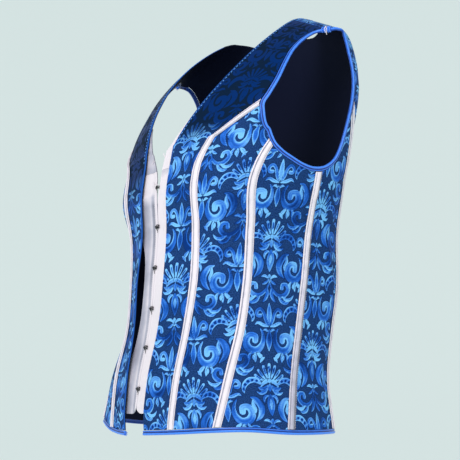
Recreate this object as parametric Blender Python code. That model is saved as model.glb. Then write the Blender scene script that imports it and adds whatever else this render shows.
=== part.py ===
"""Corset vest: a man's sleeveless waistcoat with a boned bodice, in blue brocade.

Nine brocade panels are sewn edge to edge and worn over a hollow body. Eight white satin
casings cover the seams, satin bias strips bind both armholes and the hem, and two white
plackets under the open fronts close with six hooks and eyes.
Working lengths are millimetres, the meshes are metres. +Z is up, the front faces -Y and
the wearer's left is +X. The origin is midway between the middles of the shoulder seams.
"""
import bpy
import bmesh
import numpy as np
from mathutils import Vector

for leftover in list(bpy.data.objects):
    bpy.data.objects.remove(leftover, do_unlink=True)

METRES = 0.001

# Cloth
CLOTH = 1.8             # brocade on its lining
SEAM_GAP = 0.3          # between two panels at a seam
LAID_GAP = 0.55         # between a panel and what is sewn on it
EDGE_GAP = 0.45         # between a panel's edge and its binding

# Levels are heights above the waistline. Past CROWN a level counts down the front again,
# so that a back piece can run over the top of the shoulder to its seam.
CHEST = 185.0
CROWN = 465.0
SHOULDER_SEAM = 430.0
HEM = -206.0
YOKE = 120.0            # below this the rows of all panels run level

# Worn form: one row for each level. The last two columns place the upright axis of the
# form and tilt its section: the hips are pushed a little aside, one shoulder is higher.
FIGURE = (
    # level, half width, front, back, aside, forward, tilt in degrees
    (-200, 188, 132, 114, -25, -8, 0.0),
    (-130, 172, 131, 108, -21, -6, -1.0),
    (-60, 147, 135, 113, -6, 2, -1.0),
    (0, 137, 140, 121, 2, 5, 0.0),
    (70, 149, 132, 116, 1, 2, 1.0),
    (130, 173, 132, 117, -1, -1, 2.3),
    (185, 181, 125, 122, 2, 2, 3.7),
    (270, 195, 125, 130, 7, 2, 3.0),
    (360, 197, 125, 137, 2, 2, 2.0),
    (465, 204, 125, 137, -3, 2, 1.5),
)
FRONT_BOX = 0.03        # how square the section is, 0 is an ellipse
BACK_BOX = 0.105        # the back is flatter between the shoulder blades
NECK_HALF = 80.0        # neck point from the middle
CROWN_HEIGHT = 389.0    # top of the shoulder at the neck point, above the waist
CROWN_DEPTH = 71.0      # how far back the top of the shoulder lies there
CROWN_SWEEP = -0.24     # the top of the shoulder comes forward towards its tip
SHOULDER_SLOPE = 22.5   # degrees
FRONT_CURVE = (1.36, 1.47)   # powers that shape the chest up to the shoulder
BACK_CURVE = (0.55, 1.0)     # the same for the shoulder blade

# Seams: the angle of each seam round the body, 0 at the centre front, 180 at the back
SEAMS = (
    # level, front edge, seam 1, seam 2, seam 3, seam 4
    (-206, 6.5, 21.0, 45.0, 86.0, 122.0),
    (-125, 8.0, 24.4, 53.8, 91.0, 124.0),
    (-60, 10.5, 27.9, 60.0, 94.0, 127.0),
    (0, 12.0, 32.0, 63.6, 96.4, 129.0),
    (70, 10.3, 30.0, 62.6, 98.0, 129.5),
    (130, 9.0, 27.4, 61.0, 98.5, 128.5),
    (158, 9.0, 28.0, 64.2, 98.5, 127.0),
    (185, 9.6, 32.6, 70.5, 98.5, 124.5),
    (210, 10.9, 38.6, 78.0, 98.5, 121.0),
    (235, 13.3, 46.0, 86.0, 98.5, 116.5),
    (260, 16.4, 54.5, 94.0, 98.5, 112.0),
    (285, 19.5, 63.0, 102.0, 98.5, 108.0),
    (310, 22.5, 72.0, 110.0, 98.5, 104.0),
    (345, 25.0, 82.0, 118.0, 98.5, 100.0),
    (385, 25.5, 92.0, 126.0, 98.5, 96.0),
    (430, 22.5, 100.0, 134.0, 98.5, 92.0),
)
# The armhole's cloth edge, from the shoulder tip down the front and up the back
ARMHOLE = (
    # angle, level
    (62.5, 430), (54.2, 412), (50.8, 385), (50.2, 355), (51.8, 325), (52.8, 298),
    (52.2, 272), (51.4, 254), (54.2, 234), (60.3, 198), (66.5, 171), (73.5, 157),
    (80.3, 149), (87.2, 142.5), (95.0, 139), (103.0, 143), (110.0, 156), (114.0, 176),
    (116.0, 206), (116.6, 246), (115.6, 300), (113.8, 350), (112.6, 400), (112.8, 450),
    (114.4, 480), (117.5, 500),
)
# The back neckline, from the centre back up to the neck point
BACK_NECK = (
    # level, angle
    (364, 180.0), (365.5, 175.0), (370, 170.0), (380, 165.6), (398, 162.2), (425, 160.0),
    (455, 158.7), (480, 158.0), (500, 157.5),
)
# How far the free front edge stands off the placket under it
EDGE_LIFT = (
    # level, height
    (-206, 2.0), (-130, 4.0), (-60, 6.0), (0, 6.0), (70, 4.0), (130, 2.5), (200, 2.0),
    (300, 1.0), (430, 0.0),
)
LIFT_REACH = 13.0       # degrees back from the edge
# The closure winds a little: to the wearer's left over the chest, to the right below
CENTRE_TURN = (
    # level, degrees
    (-206, -1.5), (-177, -3.0), (-148, -2.3), (-95, -1.6), (-60, -1.3), (-27, -0.2),
    (38, 1.0), (75, 1.3), (110, 2.3), (132, 2.8), (146, 2.6), (160, 1.6), (180, 0.4),
    (200, 0.0), (250, 0.0),
)
TURN_REACH = 28.0       # degrees round from the centre front
# The hem hangs lowest at the front corners and rides up over the wearer's right hip
HEM_RISE = (
    # angle, height
    (-180, 6), (-90, 16), (-60, 20), (-38, 17), (-21, 3), (-6.5, -3), (6.5, -3), (21, -2),
    (45, 1), (60, 2), (86, -2), (122, 0), (180, 6),
)
RISE_FROM = -100.0      # the level where the rise begins

# Rows and columns of the panels
LOWER_ROWS = 11
YOKE_ROWS = 6
FRONT_STRAP_ROWS = 6
BLADE_ROWS = 4
BACK_STRAP_ROWS = 5
CENTRE_COLUMNS = (0.0, 0.1, 0.25, 0.43, 0.62, 0.81, 1.0)
MID_COLUMNS = 4
SIDE_COLUMNS = 5
BACK_COLUMNS = 8

# Boning casings: half width, and the height of the cloth above the panel across it
CASING_HALF = 6.0
CASING_PROFILE = (
    # across, height
    (-1.0, 0.9), (-0.48, 1.9), (0.0, 2.8), (0.48, 1.9), (1.0, 0.9),
)

# Bias binding: its section, from the panel's edge outwards
BINDING_WIDTH = 6.4
BINDING_SECTION = (
    # out from the edge, height over the middle of the cloth
    (0.0, -1.1), (0.0, 1.1), (3.2, 1.1), (4.4, 1.9), (5.9, 1.2), (6.4, 0.0), (5.9, -1.2),
    (4.4, -1.9),
)
KNOB_SWELL = 1.35       # the armhole binding's ends are bunched at the shoulder tip

# Plackets and facings under the fronts
PLACKET_DEPTH = 3.4     # the placket's face behind the figure's surface at the front
PLACKET_TUCK = 2.3      # and at its hidden edge, just under the panel
PLACKET_CLOTH = 1.5
PLACKET_HALF = 44.0
# The right placket is cut away at the waist, where its far edge shows
RIGHT_PLACKET = (
    # level, width
    (-177, 44), (-130, 40), (-90, 29), (-60, 26), (-27, 23.5), (10, 22.5), (40, 26),
    (65, 34), (90, 44), (157, 44),
)
PLACKET_FOOT = -177.0
PLACKET_TOP = 157.0
PLACKET_CORNER = 11.0
PLACKET_COLUMNS = (0.0, 0.07, 0.17, 0.3, 0.6, 1.0)
PLACKET_ROWS = 12
FACING_TOP = 250.0
FACING_ROWS = 5
# The white inner edge, from the closed slit up along the neckline
SLIT = (
    # level, angle on the left, angle on the right
    (-177, 0.17, 0.17), (90, 0.17, 0.17), (105, 0.17, 0.18), (118, 0.18, 0.2),
    (135, 0.4, 0.6), (157, 1.2, 2.0), (178, 3.2, 5.2), (205, 6.4, 8.6), (228, 10.2, 11.8),
    (250, 15.0, 15.6),
)

# Hooks and eyes
HOOK_LEVELS = (133.0, 78.0, 21.0, -35.0, -88.0, -144.0)
WIRE = 0.9              # thickness of the wire
HOOK_PATH = (
    # across, up, out of the placket
    (-3.9, 1.0, 1.1), (1.2, 1.0, 1.1), (2.4, 0.9, 1.9), (2.0, 0.7, 3.3), (-1.6, 0.6, 3.5),
)
EYE_PATH = (
    # across, up, out of the placket
    (4.4, 0.9, 1.1), (4.1, 1.9, 1.3), (3.2, 2.3, 2.1), (0.0, 2.3, 2.3),
)


def smooth(at, table, column):
    """Read a column of a table at any place, on a smooth curve through its rows."""
    rows = np.array(table, dtype=float)
    knots = rows[:, 0]
    values = rows[:, column]
    slopes = np.gradient(values, knots)
    at = np.asarray(at, dtype=float)
    low = np.clip(np.searchsorted(knots, at) - 1, 0, len(knots) - 2)
    span = knots[low + 1] - knots[low]
    t = np.clip((at - knots[low]) / span, 0.0, 1.0)
    return ((2 * t**3 - 3 * t**2 + 1) * values[low]
            + (t**3 - 2 * t**2 + t) * span * slopes[low]
            + (3 * t**2 - 2 * t**3) * values[low + 1]
            + (t**3 - t**2) * span * slopes[low + 1])


def ease(t):
    """Fall softly from 1 to 0 as t goes from 0 to 1."""
    t = np.clip(t, 0.0, 1.0)
    return (1 - t) ** 2 * (1 + 2 * t)


def figure(angle, level):
    """A point of the worn form. Angles grow from the centre front to the wearer's left."""
    angle, level = np.broadcast_arrays(np.asarray(angle, float), np.asarray(level, float))
    past_crown = level > CROWN
    angle = np.where(past_crown, np.sign(angle) * 180 - angle, angle)
    level = np.where(past_crown, 2 * CROWN - level, level)
    centred = np.clip(1 - np.abs(angle) / TURN_REACH, 0.0, 1.0)
    turn = np.radians(angle + smooth(level, CENTRE_TURN, 1) * centred)
    faces_front = np.cos(turn) >= 0
    half_width = smooth(level, FIGURE, 1)
    x = half_width * (np.sin(turn) + FRONT_BOX * np.sin(3 * turn)) / (1 - FRONT_BOX)
    box = np.where(faces_front, FRONT_BOX, BACK_BOX)
    depth = np.where(faces_front, smooth(level, FIGURE, 2), smooth(level, FIGURE, 3))
    y = -depth * (np.cos(turn) - box * np.cos(3 * turn)) / (1 - box) + smooth(level, FIGURE, 5)
    # Above the chest the section closes in an arch over each shoulder
    climb = np.clip((level - CHEST) / (CROWN - CHEST), 0.0, 1.0) * np.pi / 2
    crown_y = CROWN_DEPTH + CROWN_SWEEP * (np.abs(x) - NECK_HALF)
    crown_z = CROWN_HEIGHT - (np.abs(x) - NECK_HALF) * np.tan(np.radians(SHOULDER_SLOPE))
    across_power = np.where(faces_front, FRONT_CURVE[0], BACK_CURVE[0])
    up_power = np.where(faces_front, FRONT_CURVE[1], BACK_CURVE[1])
    above = level > CHEST
    closing = np.maximum(np.cos(climb), 0.0) ** across_power
    y = np.where(above, crown_y + (y - crown_y) * closing, y)
    z = np.where(above, CHEST + (crown_z - CHEST) * np.sin(climb) ** up_power, level)
    z = z + x * np.tan(np.radians(smooth(level, FIGURE, 6)))
    near_hem = np.clip((RISE_FROM - level) / (RISE_FROM - HEM), 0.0, 1.0)
    z = z + smooth(angle, HEM_RISE, 1) * near_hem**2
    return np.stack([x + smooth(level, FIGURE, 4), y, z], axis=-1)


def across(angle, level):
    """The step along the form for one degree of angle."""
    return (figure(angle + 0.2, level) - figure(angle - 0.2, level)) / 0.4


def outward(angle, level):
    """The direction straight out of the form."""
    upward = figure(angle, level + 0.5) - figure(angle, level - 0.5)
    normal = np.cross(across(angle, level), upward)
    return normal / np.linalg.norm(normal, axis=-1, keepdims=True)


def front_edge(level):
    return smooth(level, SEAMS, 1)


def seam(number, level):
    return smooth(level, SEAMS, 1 + number)


def edge_lift(angle, level):
    """How far the free front stands off the figure, fading out away from its edge."""
    from_edge = (np.abs(angle) - front_edge(level)) / LIFT_REACH
    return smooth(level, EDGE_LIFT, 1) * ease(from_edge)


def cloth(angle, level, out=0.0):
    """A point of the blue cloth's face, or of what lies on or under it."""
    angle, level = np.broadcast_arrays(np.asarray(angle, float), np.asarray(level, float))
    reach = np.asarray(edge_lift(angle, level) + out)
    return figure(angle, level) + outward(angle, level) * reach[..., None]


def beside(angle, level, distance):
    """The angle of a line that runs a distance beside another, in millimetres."""
    return angle + distance / np.linalg.norm(across(angle, level), axis=-1)


def armhole_curve():
    rows = np.array(ARMHOLE, dtype=float)
    counted = np.column_stack([np.arange(len(rows)), rows])
    step = np.linspace(0, len(rows) - 1, 401)
    return smooth(step, counted, 1), smooth(step, counted, 2)


HOLE_ANGLE, HOLE_LEVEL = armhole_curve()
LOWEST = int(np.argmin(HOLE_LEVEL))


def armhole_front(level):
    return np.interp(level, HOLE_LEVEL[LOWEST::-1], HOLE_ANGLE[LOWEST::-1])


def armhole_back(level):
    return np.interp(level, HOLE_LEVEL[LOWEST:], HOLE_ANGLE[LOWEST:])


def where_it_meets(line, hole, low, high):
    """The level at which a rising line of the panel meets the armhole's edge."""
    inside = np.sign(line(low) - hole(low))
    for _ in range(40):
        middle = (low + high) / 2
        if np.sign(line(middle) - hole(middle)) == inside:
            low = middle
        else:
            high = middle
    return (low + high) / 2


def top_of(line):
    """The level where a line from the hem ends at the armhole, in front or behind."""
    turn = HOLE_ANGLE[LOWEST]
    if line(HOLE_LEVEL[LOWEST]) < turn:
        return where_it_meets(line, armhole_front, HOLE_LEVEL[LOWEST], SHOULDER_SEAM)
    return where_it_meets(line, armhole_back, HOLE_LEVEL[LOWEST], SHOULDER_SEAM)


CLOTH_FOOT = HEM + BINDING_WIDTH + EDGE_GAP
SEAM_TOP = {number: top_of(lambda level, n=number: seam(n, level)) for number in (1, 2, 3, 4)}


def rising(top, foot=CLOTH_FOOT):
    """The levels of one column, from the hem to its own top."""
    lower = np.linspace(foot, YOKE, LOWER_ROWS + 1)
    return np.concatenate([lower, np.linspace(YOKE, top, YOKE_ROWS + 1)[1:]])


def sheet(angles, levels, side, thickness=CLOTH, out=0.0, surface=cloth):
    """Outer and inner points of a sheet, from the angle and level of each point."""
    angles = side * np.asarray(angles)
    return surface(angles, levels, out), surface(angles, levels, out - thickness)


def centre_front(side):
    levels = np.concatenate([
        rising(SEAM_TOP[1]),
        np.linspace(SEAM_TOP[1], SHOULDER_SEAM, FRONT_STRAP_ROWS + 1)[1:],
    ])
    outer = np.where(levels <= SEAM_TOP[1], beside(seam(1, levels), levels, -SEAM_GAP / 2),
                     armhole_front(levels))
    inner = front_edge(levels)
    share = np.array(CENTRE_COLUMNS)
    angles = inner[:, None] + (outer - inner)[:, None] * share[None, :]
    return [sheet(angles, levels[:, None], side)]


def between_seams(first, last, columns, side):
    """A panel from one seam to the next, with its top cut along the armhole."""
    angles = []
    levels = []
    for share in np.linspace(0.0, 1.0, columns + 1):
        def line(level, share=share):
            low = beside(seam(first, level), level, SEAM_GAP / 2)
            high = beside(seam(last, level), level, -SEAM_GAP / 2)
            return low + (high - low) * share
        column = rising(top_of(line))
        levels.append(column)
        angles.append(line(column))
    return [sheet(np.array(angles).T, np.array(levels).T, side)]


def strap_levels():
    """Rows of the back strap up to its crown, closer together at the neckline's foot."""
    neck_foot = BACK_NECK[0][0]
    return neck_foot + (CROWN - neck_foot) * np.linspace(0.0, 1.0, BACK_STRAP_ROWS + 1) ** 2


def centre_back():
    """The back on the fold, with both straps over the top of the shoulders."""
    neck_foot = BACK_NECK[0][0]
    body = np.concatenate([rising(SEAM_TOP[4]),
                           np.linspace(SEAM_TOP[4], neck_foot, BLADE_ROWS + 1)[1:]])
    past = 2 * CROWN - SHOULDER_SEAM
    strap = np.concatenate([strap_levels(), np.linspace(CROWN, past - SEAM_GAP, 3)[1:]])
    share = np.linspace(0.0, 1.0, BACK_COLUMNS + 1)
    pieces = []
    for side in (1, -1):
        for levels, inner in ((body, np.full(len(body), 180.0)),
                              (strap, smooth(strap, BACK_NECK, 1))):
            outer = np.where(levels <= SEAM_TOP[4],
                             beside(seam(4, levels), levels, SEAM_GAP / 2),
                             armhole_back(levels))
            angles = outer[:, None] + (inner - outer)[:, None] * share[None, :]
            pieces.append(sheet(angles, levels[:, None], side))
    return pieces


def casing(number, side):
    """A boning casing on its seam, crowned over the bone, its top cut at the armhole."""
    angles = []
    levels = []
    heights = []
    for place, height in CASING_PROFILE:
        def line(level, place=place):
            return beside(seam(number, level), level, place * CASING_HALF)

        column = rising(top_of(line) - EDGE_GAP / 2)
        levels.append(column)
        angles.append(line(column))
        heights.append(np.full(len(column), height))
    angles = side * np.array(angles).T
    levels = np.array(levels).T
    heights = np.array(heights).T
    return [(cloth(angles, levels, LAID_GAP + heights), cloth(angles, levels, LAID_GAP))]


def at_width(level, width):
    """The angle at a width from the middle of the front."""
    return np.degrees(np.arcsin(width / smooth(level, FIGURE, 1)))


def far_edge(level, side):
    """The angle of a placket's far edge."""
    return at_width(level, PLACKET_HALF if side > 0 else smooth(level, RIGHT_PLACKET, 1))


def placket_face(angle, level, out):
    """The white layer under the front, its hidden edge tucked up against the panel."""
    base = figure(angle, level)
    from_middle = np.clip(np.abs(angle) / at_width(level, PLACKET_HALF), 0, 1)
    depth = PLACKET_DEPTH + (PLACKET_TUCK - PLACKET_DEPTH) * from_middle
    reach = np.asarray(out - depth + edge_lift(angle, level) * from_middle**3)
    return base + outward(angle, level) * reach[..., None]


def slit(level, side):
    """The angle of the white inner edge on one side."""
    return smooth(level, SLIT, 1 if side > 0 else 2)


def placket(side):
    share = np.array(PLACKET_COLUMNS)
    from_slit = share * PLACKET_HALF
    inset = np.clip(PLACKET_CORNER - from_slit, 0.0, PLACKET_CORNER)
    foot = PLACKET_FOOT + PLACKET_CORNER - np.sqrt(PLACKET_CORNER**2 - inset**2)
    part = np.linspace(0.0, 1.0, PLACKET_ROWS + 1)[:, None]
    levels = foot[None, :] + (PLACKET_TOP - foot)[None, :] * part
    inner = slit(levels, side)
    angles = inner + (far_edge(levels, side) - inner) * share[None, :]
    return [sheet(angles, levels, side, PLACKET_CLOTH, 0.0, placket_face)]


def facing(side):
    """The facing that goes on from the placket along the neckline, tapering to nothing."""
    levels = np.linspace(PLACKET_TOP + SEAM_GAP, FACING_TOP, FACING_ROWS + 1)
    inner = slit(levels, side)
    width = far_edge(PLACKET_TOP, side) - inner[0]
    outer = inner + width * np.linspace(1.0, 0.35, len(levels))
    share = np.array((0.0, 0.3, 0.65, 1.0))
    angles = inner[:, None] + (outer - inner)[:, None] * share[None, :]
    return [sheet(angles, levels[:, None], side, PLACKET_CLOTH, 0.0, placket_face)]


def plain_material(name, colour, roughness, metallic=0.0):
    material = bpy.data.materials.new(name)
    material.use_nodes = True
    shader = material.node_tree.nodes["Principled BSDF"]
    shader.inputs["Base Color"].default_value = (*colour, 1.0)
    shader.inputs["Roughness"].default_value = roughness
    shader.inputs["Metallic"].default_value = metallic
    return material


BROCADE = plain_material("blue_brocade", (0.02, 0.09, 0.42), 0.45)
WHITE_SATIN = plain_material("white_satin", (0.82, 0.82, 0.88), 0.35)
BLUE_SATIN = plain_material("blue_satin", (0.01, 0.08, 0.55), 0.35)
BLACK_WIRE = plain_material("black_wire", (0.02, 0.02, 0.02), 0.4, 0.8)

vest = bpy.data.collections.new("corset_vest")
bpy.context.scene.collection.children.link(vest)


def rest_point():
    """Midway between the middles of both shoulder seams, under the cloth."""
    middle = 38.0
    both = cloth(np.array([middle, -middle]), SHOULDER_SEAM, -CLOTH)
    return both.mean(axis=0)


ORIGIN = rest_point()


def placed(points):
    return (np.asarray(points) - ORIGIN) * METRES


def finish(name, mesh, material):
    mesh.materials.append(material)
    mesh.shade_smooth()
    mesh.set_sharp_from_angle(angle=np.radians(38.0))
    piece = bpy.data.objects.new(name, mesh)
    vest.objects.link(piece)
    return piece


def make_wall(name, sheets, material):
    """Grids through the outer points, extruded into a wall whose copies go to the inner."""
    form = bmesh.new()
    inner_place = form.verts.layers.float_vector.new("inner")
    for outer, inner in sheets:
        rows, columns = outer.shape[:2]
        grid = bmesh.ops.create_grid(form, x_segments=columns - 1, y_segments=rows - 1, size=1)
        points = zip(placed(outer).reshape(-1, 3), placed(inner).reshape(-1, 3))
        for vert, (out_point, in_point) in zip(grid["verts"], points):
            vert.co = Vector(out_point)
            vert[inner_place] = Vector(in_point)
    bmesh.ops.remove_doubles(form, verts=form.verts, dist=1e-6)
    wall = bmesh.ops.extrude_face_region(form, geom=form.faces[:], use_keep_orig=True)
    for item in wall["geom"]:
        if isinstance(item, bmesh.types.BMVert):
            item.co = item[inner_place]
    bmesh.ops.recalc_face_normals(form, faces=form.faces[:])
    mesh = bpy.data.meshes.new(name)
    form.to_mesh(mesh)
    form.free()
    return finish(name, mesh, material)


def make_roll(name, path, normals, turn, section, swell, material):
    """A bias strip: its section carried along a path, closed by a face at each end."""
    ahead = np.gradient(path, axis=0)
    ahead /= np.linalg.norm(ahead, axis=1, keepdims=True)
    upright = normals - ahead * np.sum(normals * ahead, axis=1, keepdims=True)
    upright /= np.linalg.norm(upright, axis=1, keepdims=True)
    aside = turn * np.cross(upright, ahead)
    section = np.array(section, dtype=float)
    out = EDGE_GAP + section[:, 0]
    height = section[:, 1][None, :] * swell[:, None] - CLOTH / 2
    rings = (path[:, None, :] + aside[:, None, :] * out[None, :, None]
             + upright[:, None, :] * height[:, :, None])
    form = bmesh.new()
    count = len(section)
    grid = bmesh.ops.create_grid(form, x_segments=count, y_segments=len(path) - 1, size=1)
    closed = np.concatenate([rings, rings[:, :1]], axis=1)
    for vert, point in zip(grid["verts"], placed(closed).reshape(-1, 3)):
        vert.co = Vector(point)
    bmesh.ops.remove_doubles(form, verts=form.verts, dist=1e-6)
    bmesh.ops.holes_fill(form, edges=form.edges[:], sides=0)
    bmesh.ops.recalc_face_normals(form, faces=form.faces[:])
    mesh = bpy.data.meshes.new(name)
    form.to_mesh(mesh)
    form.free()
    return finish(name, mesh, material)


def make_wire(name, level, half_path, material):
    """A bent wire on the plackets at one level, its lower half the mirror of the upper."""
    base = placket_face(np.array(0.0), np.array(level), 0.0)
    sideways = across(np.array(0.0), np.array(level))
    sideways = sideways / np.linalg.norm(sideways)
    out = outward(np.array(0.0), np.array(level))
    up = np.cross(out, sideways)
    mirrored = [(x, -z, n) for x, z, n in reversed(half_path)]
    curve = bpy.data.curves.new(name, "CURVE")
    curve.dimensions = "3D"
    curve.bevel_depth = WIRE / 2 * METRES
    curve.bevel_resolution = 0
    curve.use_fill_caps = True
    spline = curve.splines.new("POLY")
    route = list(half_path) + mirrored
    spline.points.add(len(route) - 1)
    for point, (x, z, n) in zip(spline.points, route):
        place = placed(base + sideways * x + up * z + out * n)
        point.co = (*place, 1.0)
    curve.materials.append(material)
    wire = bpy.data.objects.new(name, curve)
    vest.objects.link(wire)
    return wire


def armhole_path(side):
    """Cloth-edge points of all panels round the armhole, front tip to back tip."""
    strap = np.linspace(SHOULDER_SEAM, SEAM_TOP[1], FRONT_STRAP_ROWS + 1)
    points = [(armhole_front(level), level) for level in strap]
    for first, last, columns in ((1, 2, MID_COLUMNS), (2, 3, SIDE_COLUMNS), (3, 4, SIDE_COLUMNS)):
        for share in np.linspace(0.0, 1.0, columns + 1)[1:]:
            def line(level, share=share, first=first, last=last):
                low = beside(seam(first, level), level, SEAM_GAP / 2)
                high = beside(seam(last, level), level, -SEAM_GAP / 2)
                return low + (high - low) * share
            top = top_of(line)
            points.append((line(top), top))
    neck_foot = BACK_NECK[0][0]
    blade = np.linspace(SEAM_TOP[4], neck_foot, BLADE_ROWS + 1)[1:]
    over = strap_levels()[1:]
    past = np.linspace(CROWN, 2 * CROWN - SHOULDER_SEAM - SEAM_GAP, 3)[1:]
    for level in np.concatenate([blade, over, past]):
        points.append((armhole_back(level), level))
    angles, levels = np.array(points).T
    angles = side * angles
    path = cloth(angles, levels)
    normals = outward(angles, levels)
    return path, normals


def hem_path():
    """Lower corners of all panels, from the right front round the back to the left."""
    foot = CLOTH_FOOT
    one_side = list(front_edge(foot) + (seam(1, foot) - front_edge(foot)) * np.array(CENTRE_COLUMNS))
    for first, last, columns in ((1, 2, MID_COLUMNS), (2, 3, SIDE_COLUMNS), (3, 4, SIDE_COLUMNS)):
        span = seam(last, foot) - seam(first, foot)
        one_side += list(seam(first, foot) + span * np.linspace(0, 1, columns + 1)[1:])
    one_side += list(seam(4, foot) + (180 - seam(4, foot)) * np.linspace(0, 1, BACK_COLUMNS + 1)[1:])
    one_side = np.array(one_side)
    angles = np.concatenate([-one_side, one_side[-2::-1]])
    levels = np.full(len(angles), foot)
    return cloth(angles, levels), outward(angles, levels)


for letter, side in (("L", 1), ("R", -1)):
    make_wall("front_centre_" + letter, centre_front(side), BROCADE)
    make_wall("front_mid_" + letter, between_seams(1, 2, MID_COLUMNS, side), BROCADE)
    make_wall("front_side_" + letter, between_seams(2, 3, SIDE_COLUMNS, side), BROCADE)
    make_wall("back_side_" + letter, between_seams(3, 4, SIDE_COLUMNS, side), BROCADE)
    for number in (1, 2, 3, 4):
        make_wall("casing_%d_%s" % (number, letter), casing(number, side), WHITE_SATIN)
    make_wall("placket_" + letter, placket(side), WHITE_SATIN)
    make_wall("facing_" + letter, facing(side), WHITE_SATIN)
    path, normals = armhole_path(side)
    ends = np.full(len(path), 1.0)
    ends[[0, -1]] = KNOB_SWELL
    make_roll("armhole_binding_" + letter, path, normals, side, BINDING_SECTION, ends, BLUE_SATIN)
make_wall("back_centre", centre_back(), BROCADE)
path, normals = hem_path()
make_roll("hem_binding", path, normals, 1, BINDING_SECTION, np.ones(len(path)), BLUE_SATIN)
for number, level in enumerate(HOOK_LEVELS, start=1):
    make_wire("hook_%d" % number, level, HOOK_PATH, BLACK_WIRE)
    make_wire("eye_%d" % number, level, EYE_PATH, BLACK_WIRE)
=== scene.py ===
import bpy
import numpy as np
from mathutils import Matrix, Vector


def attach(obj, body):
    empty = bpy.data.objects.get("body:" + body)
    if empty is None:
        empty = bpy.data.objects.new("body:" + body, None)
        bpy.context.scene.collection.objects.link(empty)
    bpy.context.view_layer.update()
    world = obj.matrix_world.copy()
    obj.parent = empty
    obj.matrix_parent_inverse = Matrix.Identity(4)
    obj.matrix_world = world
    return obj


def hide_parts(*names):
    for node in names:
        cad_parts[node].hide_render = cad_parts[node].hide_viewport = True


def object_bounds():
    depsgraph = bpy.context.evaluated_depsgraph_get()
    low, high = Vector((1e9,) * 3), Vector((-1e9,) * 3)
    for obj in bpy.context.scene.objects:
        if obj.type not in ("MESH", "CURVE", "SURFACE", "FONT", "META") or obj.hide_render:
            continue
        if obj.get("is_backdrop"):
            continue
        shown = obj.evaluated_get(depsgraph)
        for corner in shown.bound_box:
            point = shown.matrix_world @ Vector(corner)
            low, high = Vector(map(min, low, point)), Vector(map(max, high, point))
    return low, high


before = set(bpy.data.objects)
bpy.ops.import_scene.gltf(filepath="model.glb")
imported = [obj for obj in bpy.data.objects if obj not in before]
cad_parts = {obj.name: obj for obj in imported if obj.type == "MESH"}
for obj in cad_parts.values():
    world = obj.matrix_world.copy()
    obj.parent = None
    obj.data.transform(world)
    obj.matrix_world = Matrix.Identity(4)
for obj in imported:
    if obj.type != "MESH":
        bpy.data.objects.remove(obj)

cad_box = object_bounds()


# Brocade panels. Nine pieces of silk brocade on a dark lining, cut to the body and sewn edge
# to edge: a front, a middle and a side piece on each side of the open front, a side-back
# piece, and one back on the fold. All lengths here are millimetres until a mesh is made.
CLOTH = 1.8               # brocade and lining together
SEAM_GAP = 0.3            # between two panels
EDGE_GAP = 0.45           # between a panel's edge and its binding
CHEST = 185.0             # levels are over the waist
CROWN = 465.0             # the top of the shoulder, where the back's strap turns forward
SHOULDER_SEAM = 430.0     # where it meets the front's strap
HEM = -206.0
YOKE = 120.0              # rows of cells are level up to here, and fan out above
BINDING_WIDTH = 6.4
CLOTH_FOOT = HEM + BINDING_WIDTH + EDGE_GAP
WORN_FORM = (
    # level above the waist, half width, front, back, aside, forward, tilt in degrees
    (-200, 188, 132, 114, -25, -8, 0.0),
    (-130, 172, 131, 108, -21, -6, -1.0),
    (-60, 147, 135, 113, -6, 2, -1.0),
    (0, 137, 140, 121, 2, 5, 0.0),
    (70, 149, 132, 116, 1, 2, 1.0),
    (130, 173, 132, 117, -1, -1, 2.3),
    (185, 181, 125, 122, 2, 2, 3.7),
    (270, 195, 125, 130, 7, 2, 3.0),
    (360, 197, 125, 137, 2, 2, 2.0),
    (465, 204, 125, 137, -3, 2, 1.5),
)
FRONT_BOX = 0.03          # how square the form is across its front, and across its back
BACK_BOX = 0.105
NECK_HALF = 80.0
SHOULDER_TOP = (389.0, 71.0, -0.24, 22.5)   # height, depth, sweep forward, slope in degrees
FRONT_CURVE = (1.36, 1.47)    # how the chest runs in, and how it runs up, to the shoulder
BACK_CURVE = (0.55, 1.0)
SEAM_LINES = (
    # level, then the angle round the body of the front edge and of seams 1 to 4
    (-206, 6.5, 21.0, 45.0, 86.0, 122.0),
    (-125, 8.0, 24.4, 53.8, 91.0, 124.0),
    (-60, 10.5, 27.9, 60.0, 94.0, 127.0),
    (0, 12.0, 32.0, 63.6, 96.4, 129.0),
    (70, 10.3, 30.0, 62.6, 98.0, 129.5),
    (130, 9.0, 27.4, 61.0, 98.5, 128.5),
    (158, 9.0, 28.0, 64.2, 98.5, 127.0),
    (185, 9.6, 32.6, 70.5, 98.5, 124.5),
    (210, 10.9, 38.6, 78.0, 98.5, 121.0),
    (235, 13.3, 46.0, 86.0, 98.5, 116.5),
    (260, 16.4, 54.5, 94.0, 98.5, 112.0),
    (285, 19.5, 63.0, 102.0, 98.5, 108.0),
    (310, 22.5, 72.0, 110.0, 98.5, 104.0),
    (345, 25.0, 82.0, 118.0, 98.5, 100.0),
    (385, 25.5, 92.0, 126.0, 98.5, 96.0),
    (430, 22.5, 100.0, 134.0, 98.5, 92.0),
)
ARMHOLE = (
    # angle, level, from the shoulder tip down the front and up the back
    (62.5, 430), (54.2, 412), (50.8, 385), (50.2, 355), (51.8, 325), (52.8, 298),
    (52.2, 272), (51.4, 254), (54.2, 234), (60.3, 198), (66.5, 171), (73.5, 157),
    (80.3, 149), (87.2, 142.5), (95.0, 139), (103.0, 143), (110.0, 156), (114.0, 176),
    (116.0, 206), (116.6, 246), (115.6, 300), (113.8, 350), (112.6, 400), (112.8, 450),
    (114.4, 480), (117.5, 500),
)
BACK_NECK = (
    # level, angle
    (364, 180.0), (365.5, 175.0), (370, 170.0), (380, 165.6), (398, 162.2), (425, 160.0),
    (455, 158.7), (480, 158.0), (500, 157.5),
)
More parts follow.
